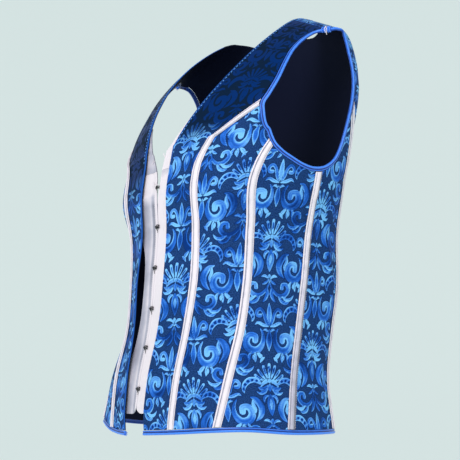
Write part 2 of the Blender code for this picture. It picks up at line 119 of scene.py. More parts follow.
FREE_EDGE_LIFT = (
    # level, how far the open front stands off the placket
    (-206, 2.0), (-130, 4.0), (-60, 6.0), (0, 6.0), (70, 4.0), (130, 2.5), (200, 2.0),
    (300, 1.0), (430, 0.0),
)
LIFT_REACH = 13.0
CENTRE_TURN = (
    # level, degrees by which the closure winds to the wearer's left
    (-206, -1.5), (-177, -3.0), (-148, -2.3), (-95, -1.6), (-60, -1.3), (-27, -0.2),
    (38, 1.0), (75, 1.3), (110, 2.3), (132, 2.8), (146, 2.6), (160, 1.6), (180, 0.4),
    (200, 0.0), (250, 0.0),
)
TURN_REACH = 28.0
HEM_RISE = (
    # angle, how far the hem rides up there
    (-180, 6), (-90, 16), (-60, 20), (-38, 17), (-21, 3), (-6.5, -3), (6.5, -3), (21, -2),
    (45, 1), (60, 2), (86, -2), (122, 0), (180, 6),
)
RISE_FROM = -100.0
PER_DEGREE = 2.6          # mm of cloth to a degree, for the run of a fold
RIGHT_FOLDS = 0.85        # the wearer's right side folds a little less
# Soft folds of the worn cloth. Each runs between two places, given as angle and level,
# with its half width and its height in millimetres; troughs are below nought.
FOLDS = (
    (70.0, 132.0, 88.0, 60.0, 10.0, -1.6),
    (78.0, 128.0, 96.0, 78.0, 8.0, 1.5),
    (62.0, 20.0, 90.0, -6.0, 9.0, -1.3),
    (68.0, 36.0, 94.0, 14.0, 8.0, 1.1),
    (99.0, 110.0, 112.0, -30.0, 9.0, -2.2),
    (105.0, 96.0, 119.0, -60.0, 8.0, 1.8),
    (98.0, -20.0, 107.0, -150.0, 9.0, -2.0),
    (104.0, -40.0, 113.0, -170.0, 8.0, 1.5),
    (34.0, -4.0, 58.0, -18.0, 8.0, -0.9),
    (36.0, 10.0, 60.0, 0.0, 7.0, 0.8),
    (15.0, 30.0, 30.0, 12.0, 6.0, -0.8),
    (56.0, 215.0, 40.0, 160.0, 10.0, -1.2),
    (60.0, 185.0, 46.0, 120.0, 9.0, 1.0),
    (22.0, 300.0, 40.0, 230.0, 12.0, -1.3),
    (30.0, 360.0, 46.0, 300.0, 10.0, 1.2),
    (132.0, 40.0, 176.0, 14.0, 9.0, -1.8),
    (134.0, 18.0, 172.0, -8.0, 8.0, 1.5),
    (136.0, -12.0, 178.0, -30.0, 9.0, -1.4),
    (126.0, 150.0, 150.0, 90.0, 11.0, -1.7),
    (130.0, 176.0, 158.0, 120.0, 9.0, 1.4),
    (150.0, -70.0, 158.0, -190.0, 12.0, -1.8),
    (168.0, -60.0, 172.0, -195.0, 12.0, -1.5),
    (122.0, 300.0, 160.0, 262.0, 12.0, -1.3),
)


def ridge(value, place, half):
    """A soft ridge, 1 at its place and nearly gone at twice its half width."""
    return np.exp(-((value - place) / half) ** 2)


def fade_in(value, start, reach):
    """From 0 at the start to 1 at the end of the reach, which may run either way."""
    return np.clip((value - start) / reach, 0.0, 1.0)


def smooth(at, table, column):
    """Read a column of a table at any place, on a smooth curve through its rows."""
    rows = np.array(table, dtype=float)
    knots = rows[:, 0]
    values = rows[:, column]
    slopes = np.gradient(values, knots)
    at = np.asarray(at, dtype=float)
    low = np.clip(np.searchsorted(knots, at) - 1, 0, len(knots) - 2)
    span = knots[low + 1] - knots[low]
    t = np.clip((at - knots[low]) / span, 0.0, 1.0)
    return ((2 * t**3 - 3 * t**2 + 1) * values[low]
            + (t**3 - 2 * t**2 + t) * span * slopes[low]
            + (3 * t**2 - 2 * t**3) * values[low + 1]
            + (t**3 - t**2) * span * slopes[low + 1])


def figure(angle, level):
    """A point of the worn form; angles grow from the centre front to the wearer's left."""
    angle, level = np.broadcast_arrays(np.asarray(angle, float), np.asarray(level, float))
    past_crown = level > CROWN
    angle = np.where(past_crown, np.sign(angle) * 180 - angle, angle)
    level = np.where(past_crown, 2 * CROWN - level, level)
    centred = fade_in(np.abs(angle), TURN_REACH, -TURN_REACH)
    turn = np.radians(angle + smooth(level, CENTRE_TURN, 1) * centred)
    faces_front = np.cos(turn) >= 0
    x = (smooth(level, WORN_FORM, 1) * (np.sin(turn) + FRONT_BOX * np.sin(3 * turn))
         / (1 - FRONT_BOX))
    box = np.where(faces_front, FRONT_BOX, BACK_BOX)
    depth = np.where(faces_front, smooth(level, WORN_FORM, 2), smooth(level, WORN_FORM, 3))
    y = -depth * (np.cos(turn) - box * np.cos(3 * turn)) / (1 - box) + smooth(level, WORN_FORM, 5)
    height, back, sweep, slope = SHOULDER_TOP
    climb = fade_in(level, CHEST, CROWN - CHEST) * np.pi / 2
    crown_y = back + sweep * (np.abs(x) - NECK_HALF)
    crown_z = height - (np.abs(x) - NECK_HALF) * np.tan(np.radians(slope))
    across_power = np.where(faces_front, FRONT_CURVE[0], BACK_CURVE[0])
    up_power = np.where(faces_front, FRONT_CURVE[1], BACK_CURVE[1])
    above = level > CHEST
    y = np.where(above, crown_y + (y - crown_y) * np.maximum(np.cos(climb), 0.0) ** across_power, y)
    z = np.where(above, CHEST + (crown_z - CHEST) * np.sin(climb) ** up_power, level)
    z = z + x * np.tan(np.radians(smooth(level, WORN_FORM, 6)))
    near_hem = fade_in(level, RISE_FROM, HEM - RISE_FROM)
    z = z + smooth(angle, HEM_RISE, 1) * near_hem**2
    return np.stack([x + smooth(level, WORN_FORM, 4), y, z], axis=-1)


def across(angle, level):
    """The step along the form for one degree of angle."""
    return (figure(angle + 0.2, level) - figure(angle - 0.2, level)) / 0.4


def unit(ways):
    """The same directions with length one."""
    return ways / np.linalg.norm(ways, axis=-1, keepdims=True)


def outward(angle, level):
    """The direction straight out of the form."""
    upward = figure(angle, level + 0.5) - figure(angle, level - 0.5)
    return unit(np.cross(across(angle, level), upward))


def edge_lift(angle, level):
    t = fade_in(np.abs(angle), smooth(level, SEAM_LINES, 1), LIFT_REACH)
    return smooth(level, FREE_EDGE_LIFT, 1) * (1 - t) ** 2 * (1 + 2 * t)


def fold_height(angle, level):
    """The soft troughs and ridges, each a little bowed and placed apart on the two sides."""
    height = np.zeros(np.broadcast(angle, level).shape)
    for number, (a0, l0, a1, l1, width, rise) in enumerate(FOLDS):
        for side in (1, -1):
            shift = 3.0 * np.sin(2.3 * number + side)
            dx, dy = (a1 - a0) * PER_DEGREE, l1 - l0
            px, py = (angle * side - a0) * PER_DEGREE - shift, level - l0 + shift
            length = np.hypot(dx, dy)
            t = (px * dx + py * dy) / length**2
            bow = np.sin(np.pi * np.clip(t, 0, 1))
            off = (px * dy - py * dx) / length + 0.08 * length * bow
            high = rise * (1.0 if side > 0 else RIGHT_FOLDS)
            height += high * np.clip(bow, 0, 1) ** 0.8 * ridge(off, 0, width)
    return height


def cloth(angle, level, out=0.0):
    """A point of the cloth's face, or of what lies on or under it."""
    angle, level = np.broadcast_arrays(np.asarray(angle, float), np.asarray(level, float))
    reach = np.asarray(edge_lift(angle, level) + fold_height(angle, level) + out)
    return figure(angle, level) + outward(angle, level) * reach[..., None]


def seam(number, level):
    return smooth(level, SEAM_LINES, 1 + number)


def beside(angle, level, distance):
    """The angle of a line that runs a distance beside another."""
    return angle + distance / np.linalg.norm(across(angle, level), axis=-1)


HALVINGS = 40
armhole_rows = np.column_stack([np.arange(len(ARMHOLE)), np.array(ARMHOLE, float)])
armhole_steps = np.linspace(0, len(ARMHOLE) - 1, 1601)
HOLE_ANGLE = smooth(armhole_steps, armhole_rows, 1)
HOLE_LEVEL = smooth(armhole_steps, armhole_rows, 2)
LOWEST = int(np.argmin(HOLE_LEVEL))


def armhole_front(level):
    return np.interp(level, HOLE_LEVEL[LOWEST::-1], HOLE_ANGLE[LOWEST::-1])


def armhole_back(level):
    return np.interp(level, HOLE_LEVEL[LOWEST:], HOLE_ANGLE[LOWEST:])


def tops_of(line, count):
    """The level at which each of several rising lines meets the armhole's edge."""
    low = np.full(count, HOLE_LEVEL[LOWEST])
    high = np.full(count, SHOULDER_SEAM)
    ahead = line(low) < HOLE_ANGLE[LOWEST]
    for _ in range(HALVINGS):
        middle = (low + high) / 2
        hole = np.where(ahead, armhole_front(middle), armhole_back(middle))
        inside = np.where(ahead, line(middle) < hole, line(middle) > hole)
        low, high = np.where(inside, middle, low), np.where(inside, high, middle)
    return (low + high) / 2


def seam_top(number):
    return float(tops_of(lambda level: seam(number, level), 1)[0])


def even(count):
    """The shares from 0 to 1 at even steps."""
    return np.linspace(0, 1, count + 1)


def rising(tops, lower_rows, yoke_rows):
    """Levels of each column from the hem to its own top, level with each other below."""
    tops = np.atleast_1d(tops)
    lower = np.linspace(CLOTH_FOOT, YOKE, lower_rows + 1)[:, None] + 0 * tops[None, :]
    upper = YOKE + (tops[None, :] - YOKE) * even(yoke_rows)[1:, None]
    return np.vstack([lower, upper])


ORIGIN = (figure(38.0, SHOULDER_SEAM) - outward(38.0, SHOULDER_SEAM) * CLOTH
          + figure(-38.0, SHOULDER_SEAM) - outward(-38.0, SHOULDER_SEAM) * CLOTH) / 2


def placed(points):
    """Body millimetres to the shared frame's metres."""
    return (np.asarray(points, float) - ORIGIN) * 0.001


PANEL_FINE = 6     # fine cells along each cell of a piece's plain inner face


def in_scene(name, data):
    """A new object of the scene, at the origin."""
    made = bpy.data.objects.new(name, data)
    bpy.context.scene.collection.objects.link(made)
    return made


def make_shell(name, grids, values, fine):
    """A closed thin shell: fine outer grids, coarse inner ones, and a rim round the edge.
    Each grid is (outer points, inner points, {value name: numbers, "uv": pairs})."""
    outer, inner, fine_of, quads, coarse, rims = [], [], [], [], [], []
    gathered = {key: [] for key in ("uv",) + tuple(values)}
    base = 0
    coarse_base = 0
    for points, under, extras in grids:
        rows, columns = points.shape[:2]
        index = base + np.arange(rows * columns).reshape(rows, columns)
        outer.append(placed(points).reshape(-1, 3))
        for key in gathered:
            gathered[key].append(extras[key].reshape(rows * columns, -1))
        picked = index[::fine, ::fine]
        inner.append(placed(under)[::fine, ::fine].reshape(-1, 3))
        fine_of.append(picked.ravel())
        small = coarse_base + np.arange(picked.size).reshape(picked.shape)
        quads.append(np.stack([index[:-1, :-1], index[:-1, 1:], index[1:, 1:], index[1:, :-1]],
                              -1).reshape(-1, 4))
        coarse.append(np.stack([small[:-1, :-1], small[1:, :-1], small[1:, 1:], small[:-1, 1:]],
                               -1).reshape(-1, 4))
        for line, thin in ((index[0], small[0]), (index[-1][::-1], small[-1][::-1]),
                           (index[::-1, 0], small[::-1, 0]), (index[:, -1], small[:, -1])):
            for k in range(len(thin) - 1):
                rims.append((line[k * fine:(k + 1) * fine + 1], thin[k], thin[k + 1]))
        base += rows * columns
        coarse_base += picked.size
    outer, inner = np.concatenate(outer), np.concatenate(inner)
    fine_of = np.concatenate(fine_of)
    quads, coarse = np.concatenate(quads), np.concatenate(coarse)
    _, first, same = np.unique(np.round(outer, 7), axis=0, return_index=True, return_inverse=True)
    merged = first[same.ravel()]
    inner_key = merged[fine_of]
    _, inner_first, inner_same = np.unique(inner_key, return_index=True, return_inverse=True)
    inner_merged = inner_first[inner_same.ravel()]
    quads, coarse = merged[quads], inner_merged[coarse]
    used = {}
    for a, b in np.concatenate([coarse[:, [0, 1]], coarse[:, [1, 2]], coarse[:, [2, 3]],
                                coarse[:, [3, 0]]]):
        pair = (min(a, b), max(a, b))
        used[pair] = used.get(pair, 0) + 1
    kept, outer_at = np.unique(quads, return_inverse=True)
    quads = outer_at.reshape(quads.shape)
    position = {int(v): k for k, v in enumerate(kept)}
    inner_kept, inner_at = np.unique(coarse, return_inverse=True)
    inner_place = {int(v): k + len(kept) for k, v in enumerate(inner_kept)}
    coarse = inner_at.reshape(coarse.shape) + len(kept)
    faces = quads.tolist() + coarse.tolist()
    for line, a, b in rims:
        a, b = int(inner_merged[a]), int(inner_merged[b])
        if used[(min(a, b), max(a, b))] == 1:
            chain = [position[int(merged[v])] for v in line]
            faces.append([inner_place[a], inner_place[b]] + chain[::-1])
    mesh = bpy.data.meshes.new(name)
    mesh.from_pydata(np.concatenate([outer[kept], inner[inner_kept]]).tolist(), [], faces)
    for key in values:
        column = np.concatenate(gathered[key])[kept, 0]
        layer = mesh.attributes.new(key, "FLOAT", "POINT")
        full = np.concatenate([column, np.zeros(len(inner_kept))])
        layer.data.foreach_set("value", full.astype(np.float32))
    pairs = np.concatenate(gathered["uv"])
    pairs = np.concatenate([pairs[kept], pairs[fine_of][inner_kept]])
    corner = np.zeros(len(mesh.loops), np.int32)
    mesh.loops.foreach_get("vertex_index", corner)
    layer = mesh.uv_layers.new(name="cut")
    layer.data.foreach_set("uv", pairs[corner].astype(np.float32).ravel())
    lining = np.zeros(len(mesh.polygons), np.int32)
    lining[len(quads):] = 1
    mesh.polygons.foreach_set("material_index", lining)
    mesh.shade_smooth()
    mesh.set_sharp_from_angle(angle=np.radians(50.0))
    mesh.update()
    return in_scene(name, mesh)


# The damask: strokes on a mirrored, half-dropped repeat. Rows are across, up, half width.
REPEAT_WIDE = 120.0
REPEAT_TALL = 196.0
DRAFT_STEP = 0.5        # mm between the points at which the figures are worked out
OUTLINE = 0.8           # mm of ground left round a figure that lies over another
STROKE_STEPS = 14       # points to each span of a stroke
DAMASK = (
    # kind, how light its silk is, rows
    ("rib", 0.95, ((0, 64, 1.0), (0, 73, 1.9), (0, 82, 2.1))),
    ("rib", 0.9, ((3, 64, 1.0), (6, 71.5, 1.8), (8.5, 79.5, 2.0))),
    ("rib", 0.95, ((6, 62, 1.0), (11, 68, 1.8), (15.5, 74, 1.9))),
    ("rib", 0.85, ((8, 59.5, 1.0), (14, 63, 1.7), (20, 67.5, 1.8))),
    ("petal", 0.7, ((0, 60, 2.6), (5, 59, 2.6), (10, 55.5, 2.0), (13, 51, 0.5))),
    ("lace", 0.75, ((13, 56, 1.6), (20, 60.5, 3.6), (28, 60, 4.2), (34, 54.5, 3.6),
                    (36.5, 47, 2.2), (35, 42, 0.5))),
    ("leaf", 0.6, ((2, 54, 1.0), (6, 50, 2.4), (12, 48.5, 2.2), (17, 51.5, 0.5))),
    ("leaf", 0.8, ((3, 50, 1.0), (8, 44.5, 2.5), (14, 42.5, 1.9), (19, 45, 0.5))),
    ("petal", 0.5, ((0, 56, 0.6), (0, 50, 2.4), (0, 45, 0.5))),
    ("petal", 0.3, ((0, 42, 0.5), (0, 36, 3.8), (0, 28, 5.6), (0, 20, 3.8), (0, 12, 0.4))),
    ("petal", 0.6, ((0, 35, 0.5), (0, 29, 2.2), (0, 22, 0.4))),
    ("leaf", 0.75, ((3, 40, 0.8), (7, 38.5, 2.0), (9.5, 34, 1.6), (8.5, 29, 0.4))),
    ("petal", 0.7, ((0, 9, 0.4), (0, 4, 3.0), (0, -3, 0.6))),
    ("leaf", 0.9, ((1.5, 3, 0.8), (7, 6.5, 2.0), (13, 5, 0.4))),
    ("leaf", 0.6, ((1.5, 1, 0.8), (6, -3, 1.8), (11, -5, 0.4))),
    ("scroll", 0.75, ((1, -4, 0.8), (5, -12, 1.8), (13, -19, 2.6), (23, -19, 3.2), (29.5, -12, 3.2),
                      (27, -4.5, 2.8), (20.5, -4.5, 2.4), (19.5, -9.5, 2.9))),
    ("leaf", 0.85, ((20, -21, 1.0), (27, -25, 2.3), (34, -23.5, 1.9), (39, -18, 0.4))),
    ("leaf", 0.5, ((14, -21, 1.0), (19, -27.5, 2.3), (26, -30, 1.7), (31, -28, 0.4))),
    ("leaf", 0.35, ((3, -10, 0.8), (3, -18, 2.4), (6, -25, 2.0), (10, -29, 0.4))),
    ("petal", 0.45, ((0, -30, 0.5), (0, -38, 2.8), (0, -46, 3.6), (0, -55, 2.4), (0, -62, 0.4))),
    ("scroll", 0.9, ((2, -61, 1.0), (5.5, -53, 2.2), (8, -44, 2.2), (13, -38.5, 2.3),
                     (18, -42, 2.3), (17, -47.5, 2.2), (13, -47.5, 2.6))),
    ("leaf", 0.8, ((2, -62, 1.0), (9, -60, 2.4), (16, -57, 2.0), (21, -60, 0.4))),
    ("petal", 0.35, ((0, -66, 0.4), (0, -74, 3.2), (0, -82, 4.4), (0, -89, 2.8), (0, -96, 0.4))),
    ("leaf", 0.8, ((2, -69, 0.9), (5, -66.5, 1.7), (9, -67, 0.4))),
    ("scroll", 1.0, ((47, 33, 0.9), (51, 24, 2.2), (50, 12, 3.8), (42.5, 3.5, 5.2), (32.5, 5, 5.4),
                     (27.5, 14, 5.0), (31.5, 23, 4.4), (39.5, 22.5, 4.4), (40, 16.5, 4.2))),
    ("leaf", 0.95, ((44, -1, 1.4), (48, -5, 2.8), (52.5, -11, 0.4))),
    ("leaf", 0.95, ((40, -2, 1.4), (40, -7, 2.6), (41, -13.5, 0.4))),
    ("leaf", 0.8, ((34, -1, 1.2), (32, -5, 2.0), (33.5, -10, 0.4))),
    ("frond", 0.35, ((32, -61, 1.0), (40, -65, 3.8), (46, -75, 4.6), (44, -86, 3.4),
                     (37, -94, 0.5))),
    ("leaf", 0.85, ((35, -64, 0.8), (35, -71, 2.2), (38, -78, 1.6), (37, -84, 0.4))),
    ("petal", 0.8, ((22, 88, 0.4), (22, 91.5, 1.9), (22, 95, 0.4))),
    ("petal", 0.7, ((6, 92, 0.4), (10, 89, 1.9), (13, 84, 0.4))),
)


def soft_line(rows, count):
    """Points of a soft curve through rows, count to each span."""
    rows = np.array(rows, float)
    ends = np.vstack([2 * rows[0] - rows[1], rows, 2 * rows[-1] - rows[-2]])
    t = np.linspace(0, 1, count, endpoint=False)[:, None]
    spans = [0.5 * (2 * b + (c - a) * t + (2 * a - 5 * b + 4 * c - d) * t**2
                    + (3 * b - a - 3 * c + d) * t**3)
             for a, b, c, d in zip(ends, ends[1:], ends[2:], ends[3:])]
    return np.vstack(spans + [rows[-1:]])


def silk_lustre(kind, light, t, s, half):
    """How light the figure's silk lies: t across it from -1 to 1, s along it from 0 to 1."""
    rim = ridge(np.abs(t), 0.85, 0.75 / half)
    if kind == "scroll":
        outer = ridge(t, -0.78, 0.9 / half)
        streaks = 0.10 * np.cos(9 * t + 6 * s)
        groove = ridge(t, -0.2, 0.16) * (s < 0.7)
        return light * (0.25 + 0.5 * s**1.5) + 0.45 * outer + streaks - 0.2 * groove + 0.12 * rim
    if kind == "lace":
        holes = ((np.cos(2 * np.pi * 6.5 * s) > 0.05) * (np.abs(t + 0.1) < 0.42)
                 * (s > 0.1) * (s < 0.9))
        return light * 0.75 + 0.4 * rim - 1.2 * holes
    if kind == "leaf":
        vein = ridge(t, 0.1, 0.45 / half)
        return light * 0.95 + 0.25 * (t < 0) - 0.4 * vein * (s > 0.15)
    if kind == "rib":
        slot = (np.abs(t - 0.1) < 0.45) * (s > 0.35) * (s < 0.88)
        return light * 0.9 + 0.15 * rim - 0.95 * slot
    if kind == "frond":
        return light + 0.45 * ridge(t, -0.8, 0.8 / half) + 0.10 * np.cos(12 * s + 5 * t)
    return light + 0.55 * rim * (0.7 + 0.3 * np.sign(t)) + 0.05 * np.cos(9 * t)


def draft_damask():
    """The figures' signed distance and their lustre over a quarter of the repeat."""
    px, py = np.meshgrid(np.arange(0, REPEAT_WIDE / 2 + DRAFT_STEP / 2, DRAFT_STEP),
                         np.arange(0, REPEAT_TALL / 2 + DRAFT_STEP / 2, DRAFT_STEP))
    distance = np.full(px.shape, 4.0)
    lustre = np.zeros(px.shape)
    images = [(mirror, (wide + half) * REPEAT_WIDE, (tall + half) * REPEAT_TALL)
              for wide in (-1, 0, 1) for tall in (-1, 0, 1) for mirror in (1, -1)
              for half in (0.0, 0.5)]
    for kind, light, rows in DAMASK:
        line = soft_line(rows, STROKE_STEPS)
        margin = line[:, 2].max() + 3
        low, high = line[:, :2].min(0) - margin, line[:, :2].max(0) + margin
        start, step = line[:-1], np.diff(line, axis=0)
        length = np.hypot(step[:, 0], step[:, 1])
        for mirror, dx, dy in images:
            mx, my = mirror * (px - dx), py - dy
            near = (mx > low[0]) & (mx < high[0]) & (my > low[1]) & (my < high[1])
            if not near.any():
                continue
            qx, qy = mx[near][:, None] - start[:, 0], my[near][:, None] - start[:, 1]
            t = np.clip((qx * step[:, 0] + qy * step[:, 1]) / length**2, 0, 1)
            ox, oy = qx - t * step[:, 0], qy - t * step[:, 1]
            half = start[:, 2] + t * step[:, 2]
            gap = np.hypot(ox, oy) - half
            best = gap.argmin(1)
            pick = np.arange(len(best)), best
            d = gap[pick]
            turned = (step[best, 0] * oy[pick] - step[best, 1] * ox[pick]) / length[best]
            shade = silk_lustre(kind, light, np.clip(turned / half[pick], -1, 1),
                                (best + t[pick]) / len(start), half[pick])
            lustre[near] = np.where(d < OUTLINE / 2, shade, lustre[near])
            distance[near] = np.minimum(np.maximum(distance[near], OUTLINE - d), d)
    return distance, lustre


def on_repeat(field, u, v):
    """Read a field of the repeat at any place of the cloth, mirrored and half dropped."""
    x = np.abs((u + REPEAT_WIDE / 2) % REPEAT_WIDE - REPEAT_WIDE / 2)
    y = v % REPEAT_TALL
    dropped = y >= REPEAT_TALL / 2
    x = np.where(dropped, REPEAT_WIDE / 2 - x, x) / DRAFT_STEP
    y = np.where(dropped, y - REPEAT_TALL / 2, y) / DRAFT_STEP
    i = np.clip(x.astype(int), 0, field.shape[1] - 2)
    j = np.clip(y.astype(int), 0, field.shape[0] - 2)
    x, y = x - i, y - j
    return ((field[j, i] * (1 - x) + field[j, i + 1] * x) * (1 - y)
            + (field[j + 1, i] * (1 - x) + field[j + 1, i + 1] * x) * y)


DAMASK_DISTANCE, DAMASK_LUSTRE = draft_damask()
GRAIN_LEVELS = np.arange(-214.0, 512.0, 2.0)    # from under the hem to past the crown's end


def on_the_cut(angle, level, grain):
    """Flat places of the cut cloth: across from its grain line, and up from the waist."""
    grain_line = figure(grain, GRAIN_LEVELS)
    climb = np.concatenate([[0], np.cumsum(np.linalg.norm(np.diff(grain_line, axis=0), axis=1))])
    up = np.interp(level, GRAIN_LEVELS, climb) - np.interp(0.0, GRAIN_LEVELS, climb)
    pace = sum(np.linalg.norm(across(grain + (angle - grain) * part, level), axis=-1)
               for part in (0.15, 0.5, 0.85)) / 3
    return (angle - grain) * pace, up


PANEL_ROWS, YOKE_ROWS = 216, 84         # fine cells below the yoke level, and above it
FRONT_YOKE_ROWS, FRONT_STRAP_ROWS = 90, 150
FRONT_COLUMNS = 67                      # a front ends one column short of its seam
BACK_ROWS, BACK_YOKE_ROWS, BACK_COLUMNS = 192, 66, 96
BACK_SHOULDER_ROWS, BACK_STRAP_ROWS, BACK_CROWN_ROWS = 72, 66, 30
FRONT_GRAIN, BACK_GRAIN = 20.0, 180.0   # angles of the grain lines
CROWN_END = 2 * CROWN - SHOULDER_SEAM   # the back's level at its shoulder seam
EDGE_STEPS = (0, 0.12, 0.35, 0.65, 0.95, 1.3)   # mm in from the turned edge
PLAIN_FROM = 1.6                        # mm from that edge to the first plain column
ROLL_WIDE, ROLL_DEEP = 1.3, 0.9         # the turned edge rolls over and down
EDGE_SHOWS, SEAM_SHOWS = 2.6, 2.4       # mm of painted highlight, a brighter band, along a turned edge or seam
CLOSURE_TOP, CLOSURE_FADE = 150, 20
YOKE_SHADE_START = {1: 188, -1: 118}           # above it the silk is painted darker and duller: painted shade where it turns from the light
YOKE_SHADE_FADE = 40
UV_SCALE = 0.01                         # one unit of the flat cut is 100 mm,
CUT_UNIT = 0.1                          # which is this many metres


def panel_grid(angle, level, side, grain, phase):
    """One fine grid of a panel, from the angle and level of each point on the left side."""
    u, v = on_the_cut(angle, level, grain)
    from_edge = (angle - seam(0, level)) * np.linalg.norm(across(angle, level), axis=-1)
    roll, turned, yoke_shade = 0 * angle, 0 * angle, 0 * angle
    sign = 1
    if grain == FRONT_GRAIN:
        roll = np.clip(1 - from_edge / ROLL_WIDE, 0, 1)
        above_closure = fade_in(level, CLOSURE_TOP, CLOSURE_FADE) if side > 0 else 1.0
        # painted highlight: a brighter band along the rolled front edge
        turned = np.clip(1.5 - from_edge / EDGE_SHOWS, 0, 1) * above_closure
        # painted shade: the upper front is darkened where it turns up, away from the light
        yoke_shade = fade_in(level, YOKE_SHADE_START[side], YOKE_SHADE_FADE)
    elif grain == BACK_GRAIN:
        # painted highlight: a brighter band on the back strap beside the shoulder seam
        turned = np.clip(1.5 - (CROWN_END - level) / SEAM_SHOWS, 0, 1)
        sign = side
    out = -ROLL_DEEP * (1 - np.sqrt(1 - roll**2))
    body = side * angle
    extras = {
        "uv": np.stack([sign * u, v], -1) * UV_SCALE,
        "turned": turned,
        "damask": on_repeat(DAMASK_DISTANCE, u + phase[0], v + phase[1]),
        "lustre": on_repeat(DAMASK_LUSTRE, u + phase[0], v + phase[1]),
        "yoke_shade": yoke_shade,
    }
    return cloth(body, level, out), cloth(body, level, -CLOTH), extras


def line_between(first, last, share):
    """The angle of a column at a share of the way from one seam to the next."""
    def line(level):
        low = beside(seam(first, level), level, SEAM_GAP / 2)
        high = beside(seam(last, level), level, -SEAM_GAP / 2)
        return low + (high - low) * share
    return line


def sewn_panel(first, last, columns, side, grain, phase):
    """A panel that runs from one seam to another, up to the armhole."""
    share = even(columns)
    line = line_between(first, last, share)
    levels = rising(tops_of(line, len(share)), PANEL_ROWS, YOKE_ROWS)
    return [panel_grid(line(levels), levels, side, grain, phase)]


def front_panel(side, phase):
    """A front with its strap: turned edge, neckline, seam 1 and the armhole above it."""
    top = seam_top(1)
    levels = np.concatenate([rising(top, PANEL_ROWS, FRONT_YOKE_ROWS)[:, 0],
                             np.linspace(top, SHOULDER_SEAM, FRONT_STRAP_ROWS + 1)[1:]])
    levels = levels[:, None]
    outer = np.where(levels <= top, beside(seam(1, levels), levels, -SEAM_GAP / 2),
                     armhole_front(levels))
    inner = seam(0, levels)
    pace = np.linalg.norm(across(inner, levels), axis=-1)
    near = inner + PLAIN_FROM / pace
    rest = even(FRONT_COLUMNS)[:-1]
    angle = np.hstack([inner + np.array(EDGE_STEPS) / pace, near + (outer - near) * rest])
    return [panel_grid(angle, levels + 0 * angle, side, FRONT_GRAIN, phase)]


def back_panel(phase):
    """The back in two mirrored halves, each with its strap over the shoulder."""
    neck_foot = BACK_NECK[0][0]
    top = seam_top(4)
    body = np.concatenate([rising(top, BACK_ROWS, BACK_YOKE_ROWS)[:, 0],
                           np.linspace(top, neck_foot, BACK_SHOULDER_ROWS + 1)[1:]])
    climb = even(BACK_STRAP_ROWS) ** 1.5
    strap = np.concatenate([neck_foot + (CROWN - neck_foot) * climb,
                            np.linspace(CROWN, CROWN_END - SEAM_GAP, BACK_CROWN_ROWS + 1)[1:]])
    grids = []
    for side in (1, -1):
        for levels, inner in ((body, np.full(len(body), 180.0)),
                              (strap, smooth(strap, BACK_NECK, 1))):
            outer = np.where(levels <= top, beside(seam(4, levels), levels, SEAM_GAP / 2),
                             armhole_back(levels))
            angle = outer[:, None] + (inner - outer)[:, None] * even(BACK_COLUMNS)
            grids.append(panel_grid(angle, levels[:, None] + 0 * angle, side, BACK_GRAIN, phase))
    return grids


def facing_out(piece):
    """Turn a closed shell so that its faces look outwards."""
    mesh = piece.data
    mesh.calc_loop_triangles()
    corners = np.zeros(len(mesh.loop_triangles) * 3, np.int32)
    mesh.loop_triangles.foreach_get("vertices", corners)
    place = np.zeros(len(mesh.vertices) * 3)
    mesh.vertices.foreach_get("co", place)
    a, b, c = place.reshape(-1, 3)[corners.reshape(-1, 3)].transpose(1, 0, 2)
    if (a * np.cross(b, c)).sum() < 0:
        mesh.flip_normals()
    return piece


def cut_of(grids):
    """Width, length and area in metres of the flat cut."""
    flat = CUT_UNIT * np.concatenate([extras["uv"].reshape(-1, 2) for _, _, extras in grids])
    area = 0.0
    for points, _, _ in grids:
        one = points[1:, 1:] - points[:-1, :-1]
        two = points[1:, :-1] - points[:-1, 1:]
        area += np.linalg.norm(np.cross(one, two), axis=-1).sum() / 2 * 1e-6
    return flat.max(0) - flat.min(0), area


def feed(tree, node, inputs):
    """Give each input its value, or a link from the socket that feeds it."""
    for key, given in inputs.items():
        if isinstance(given, bpy.types.NodeSocket):
            tree.links.new(given, node.inputs[key])
        else:
            node.inputs[key].default_value = given


def add_node(tree, kind, inputs=None, **settings):
    """A node with its settings made and its inputs fed."""
    node = tree.nodes.new(kind)
    for key, value in settings.items():
        setattr(node, key, value)
    feed(tree, node, inputs or {})
    return node


def new_material(name, own_values):
    """A material, its tree, and its shader with the values that are the same all over."""
    material = bpy.data.materials.new(name)
    material.use_nodes = True
    tree = material.node_tree
    shader = tree.nodes["Principled BSDF"]
    feed(tree, shader, own_values)
    return material, tree, shader


def stored(tree, name):
    return add_node(tree, "ShaderNodeAttribute", attribute_name=name).outputs["Fac"]


def flat_cut(tree):
    return add_node(tree, "ShaderNodeUVMap", uv_map="cut").outputs[0]


def patchy(tree, cut, scale, detail):
    """Uneven patches, scale of them to 100 mm of the flat cut."""
    return add_node(tree, "ShaderNodeTexNoise", {"Vector": cut, "Scale": scale, "Detail": detail},
                    noise_dimensions="2D").outputs["Fac"]


def drawn_threads(tree, cut, wide, tall, detail):
    """Fine threads: patches with their own scales across and up the flat cut."""
    drawn = add_node(tree, "ShaderNodeMapping", {"Vector": cut, "Scale": (wide, tall, 1.0)})
    return patchy(tree, drawn.outputs[0], 1.0, detail)


def times_plus(tree, value, factor, more):
    return add_node(tree, "ShaderNodeMath", {0: value, 1: factor, 2: more},
                    operation="MULTIPLY_ADD").outputs[0]


def ranged(tree, value, start, end, low, high, kind="LINEAR"):
    """A value's way from start to end, read as a number from low to high."""
    return add_node(tree, "ShaderNodeMapRange",
                    {"Value": value, "From Min": start, "From Max": end, "To Min": low,
                     "To Max": high}, interpolation_type=kind).outputs[0]


def mixed(tree, share, plain, other):
    return add_node(tree, "ShaderNodeMix", {"Factor": share, "A": plain, "B": other},
                    data_type="RGBA").outputs["Result"]


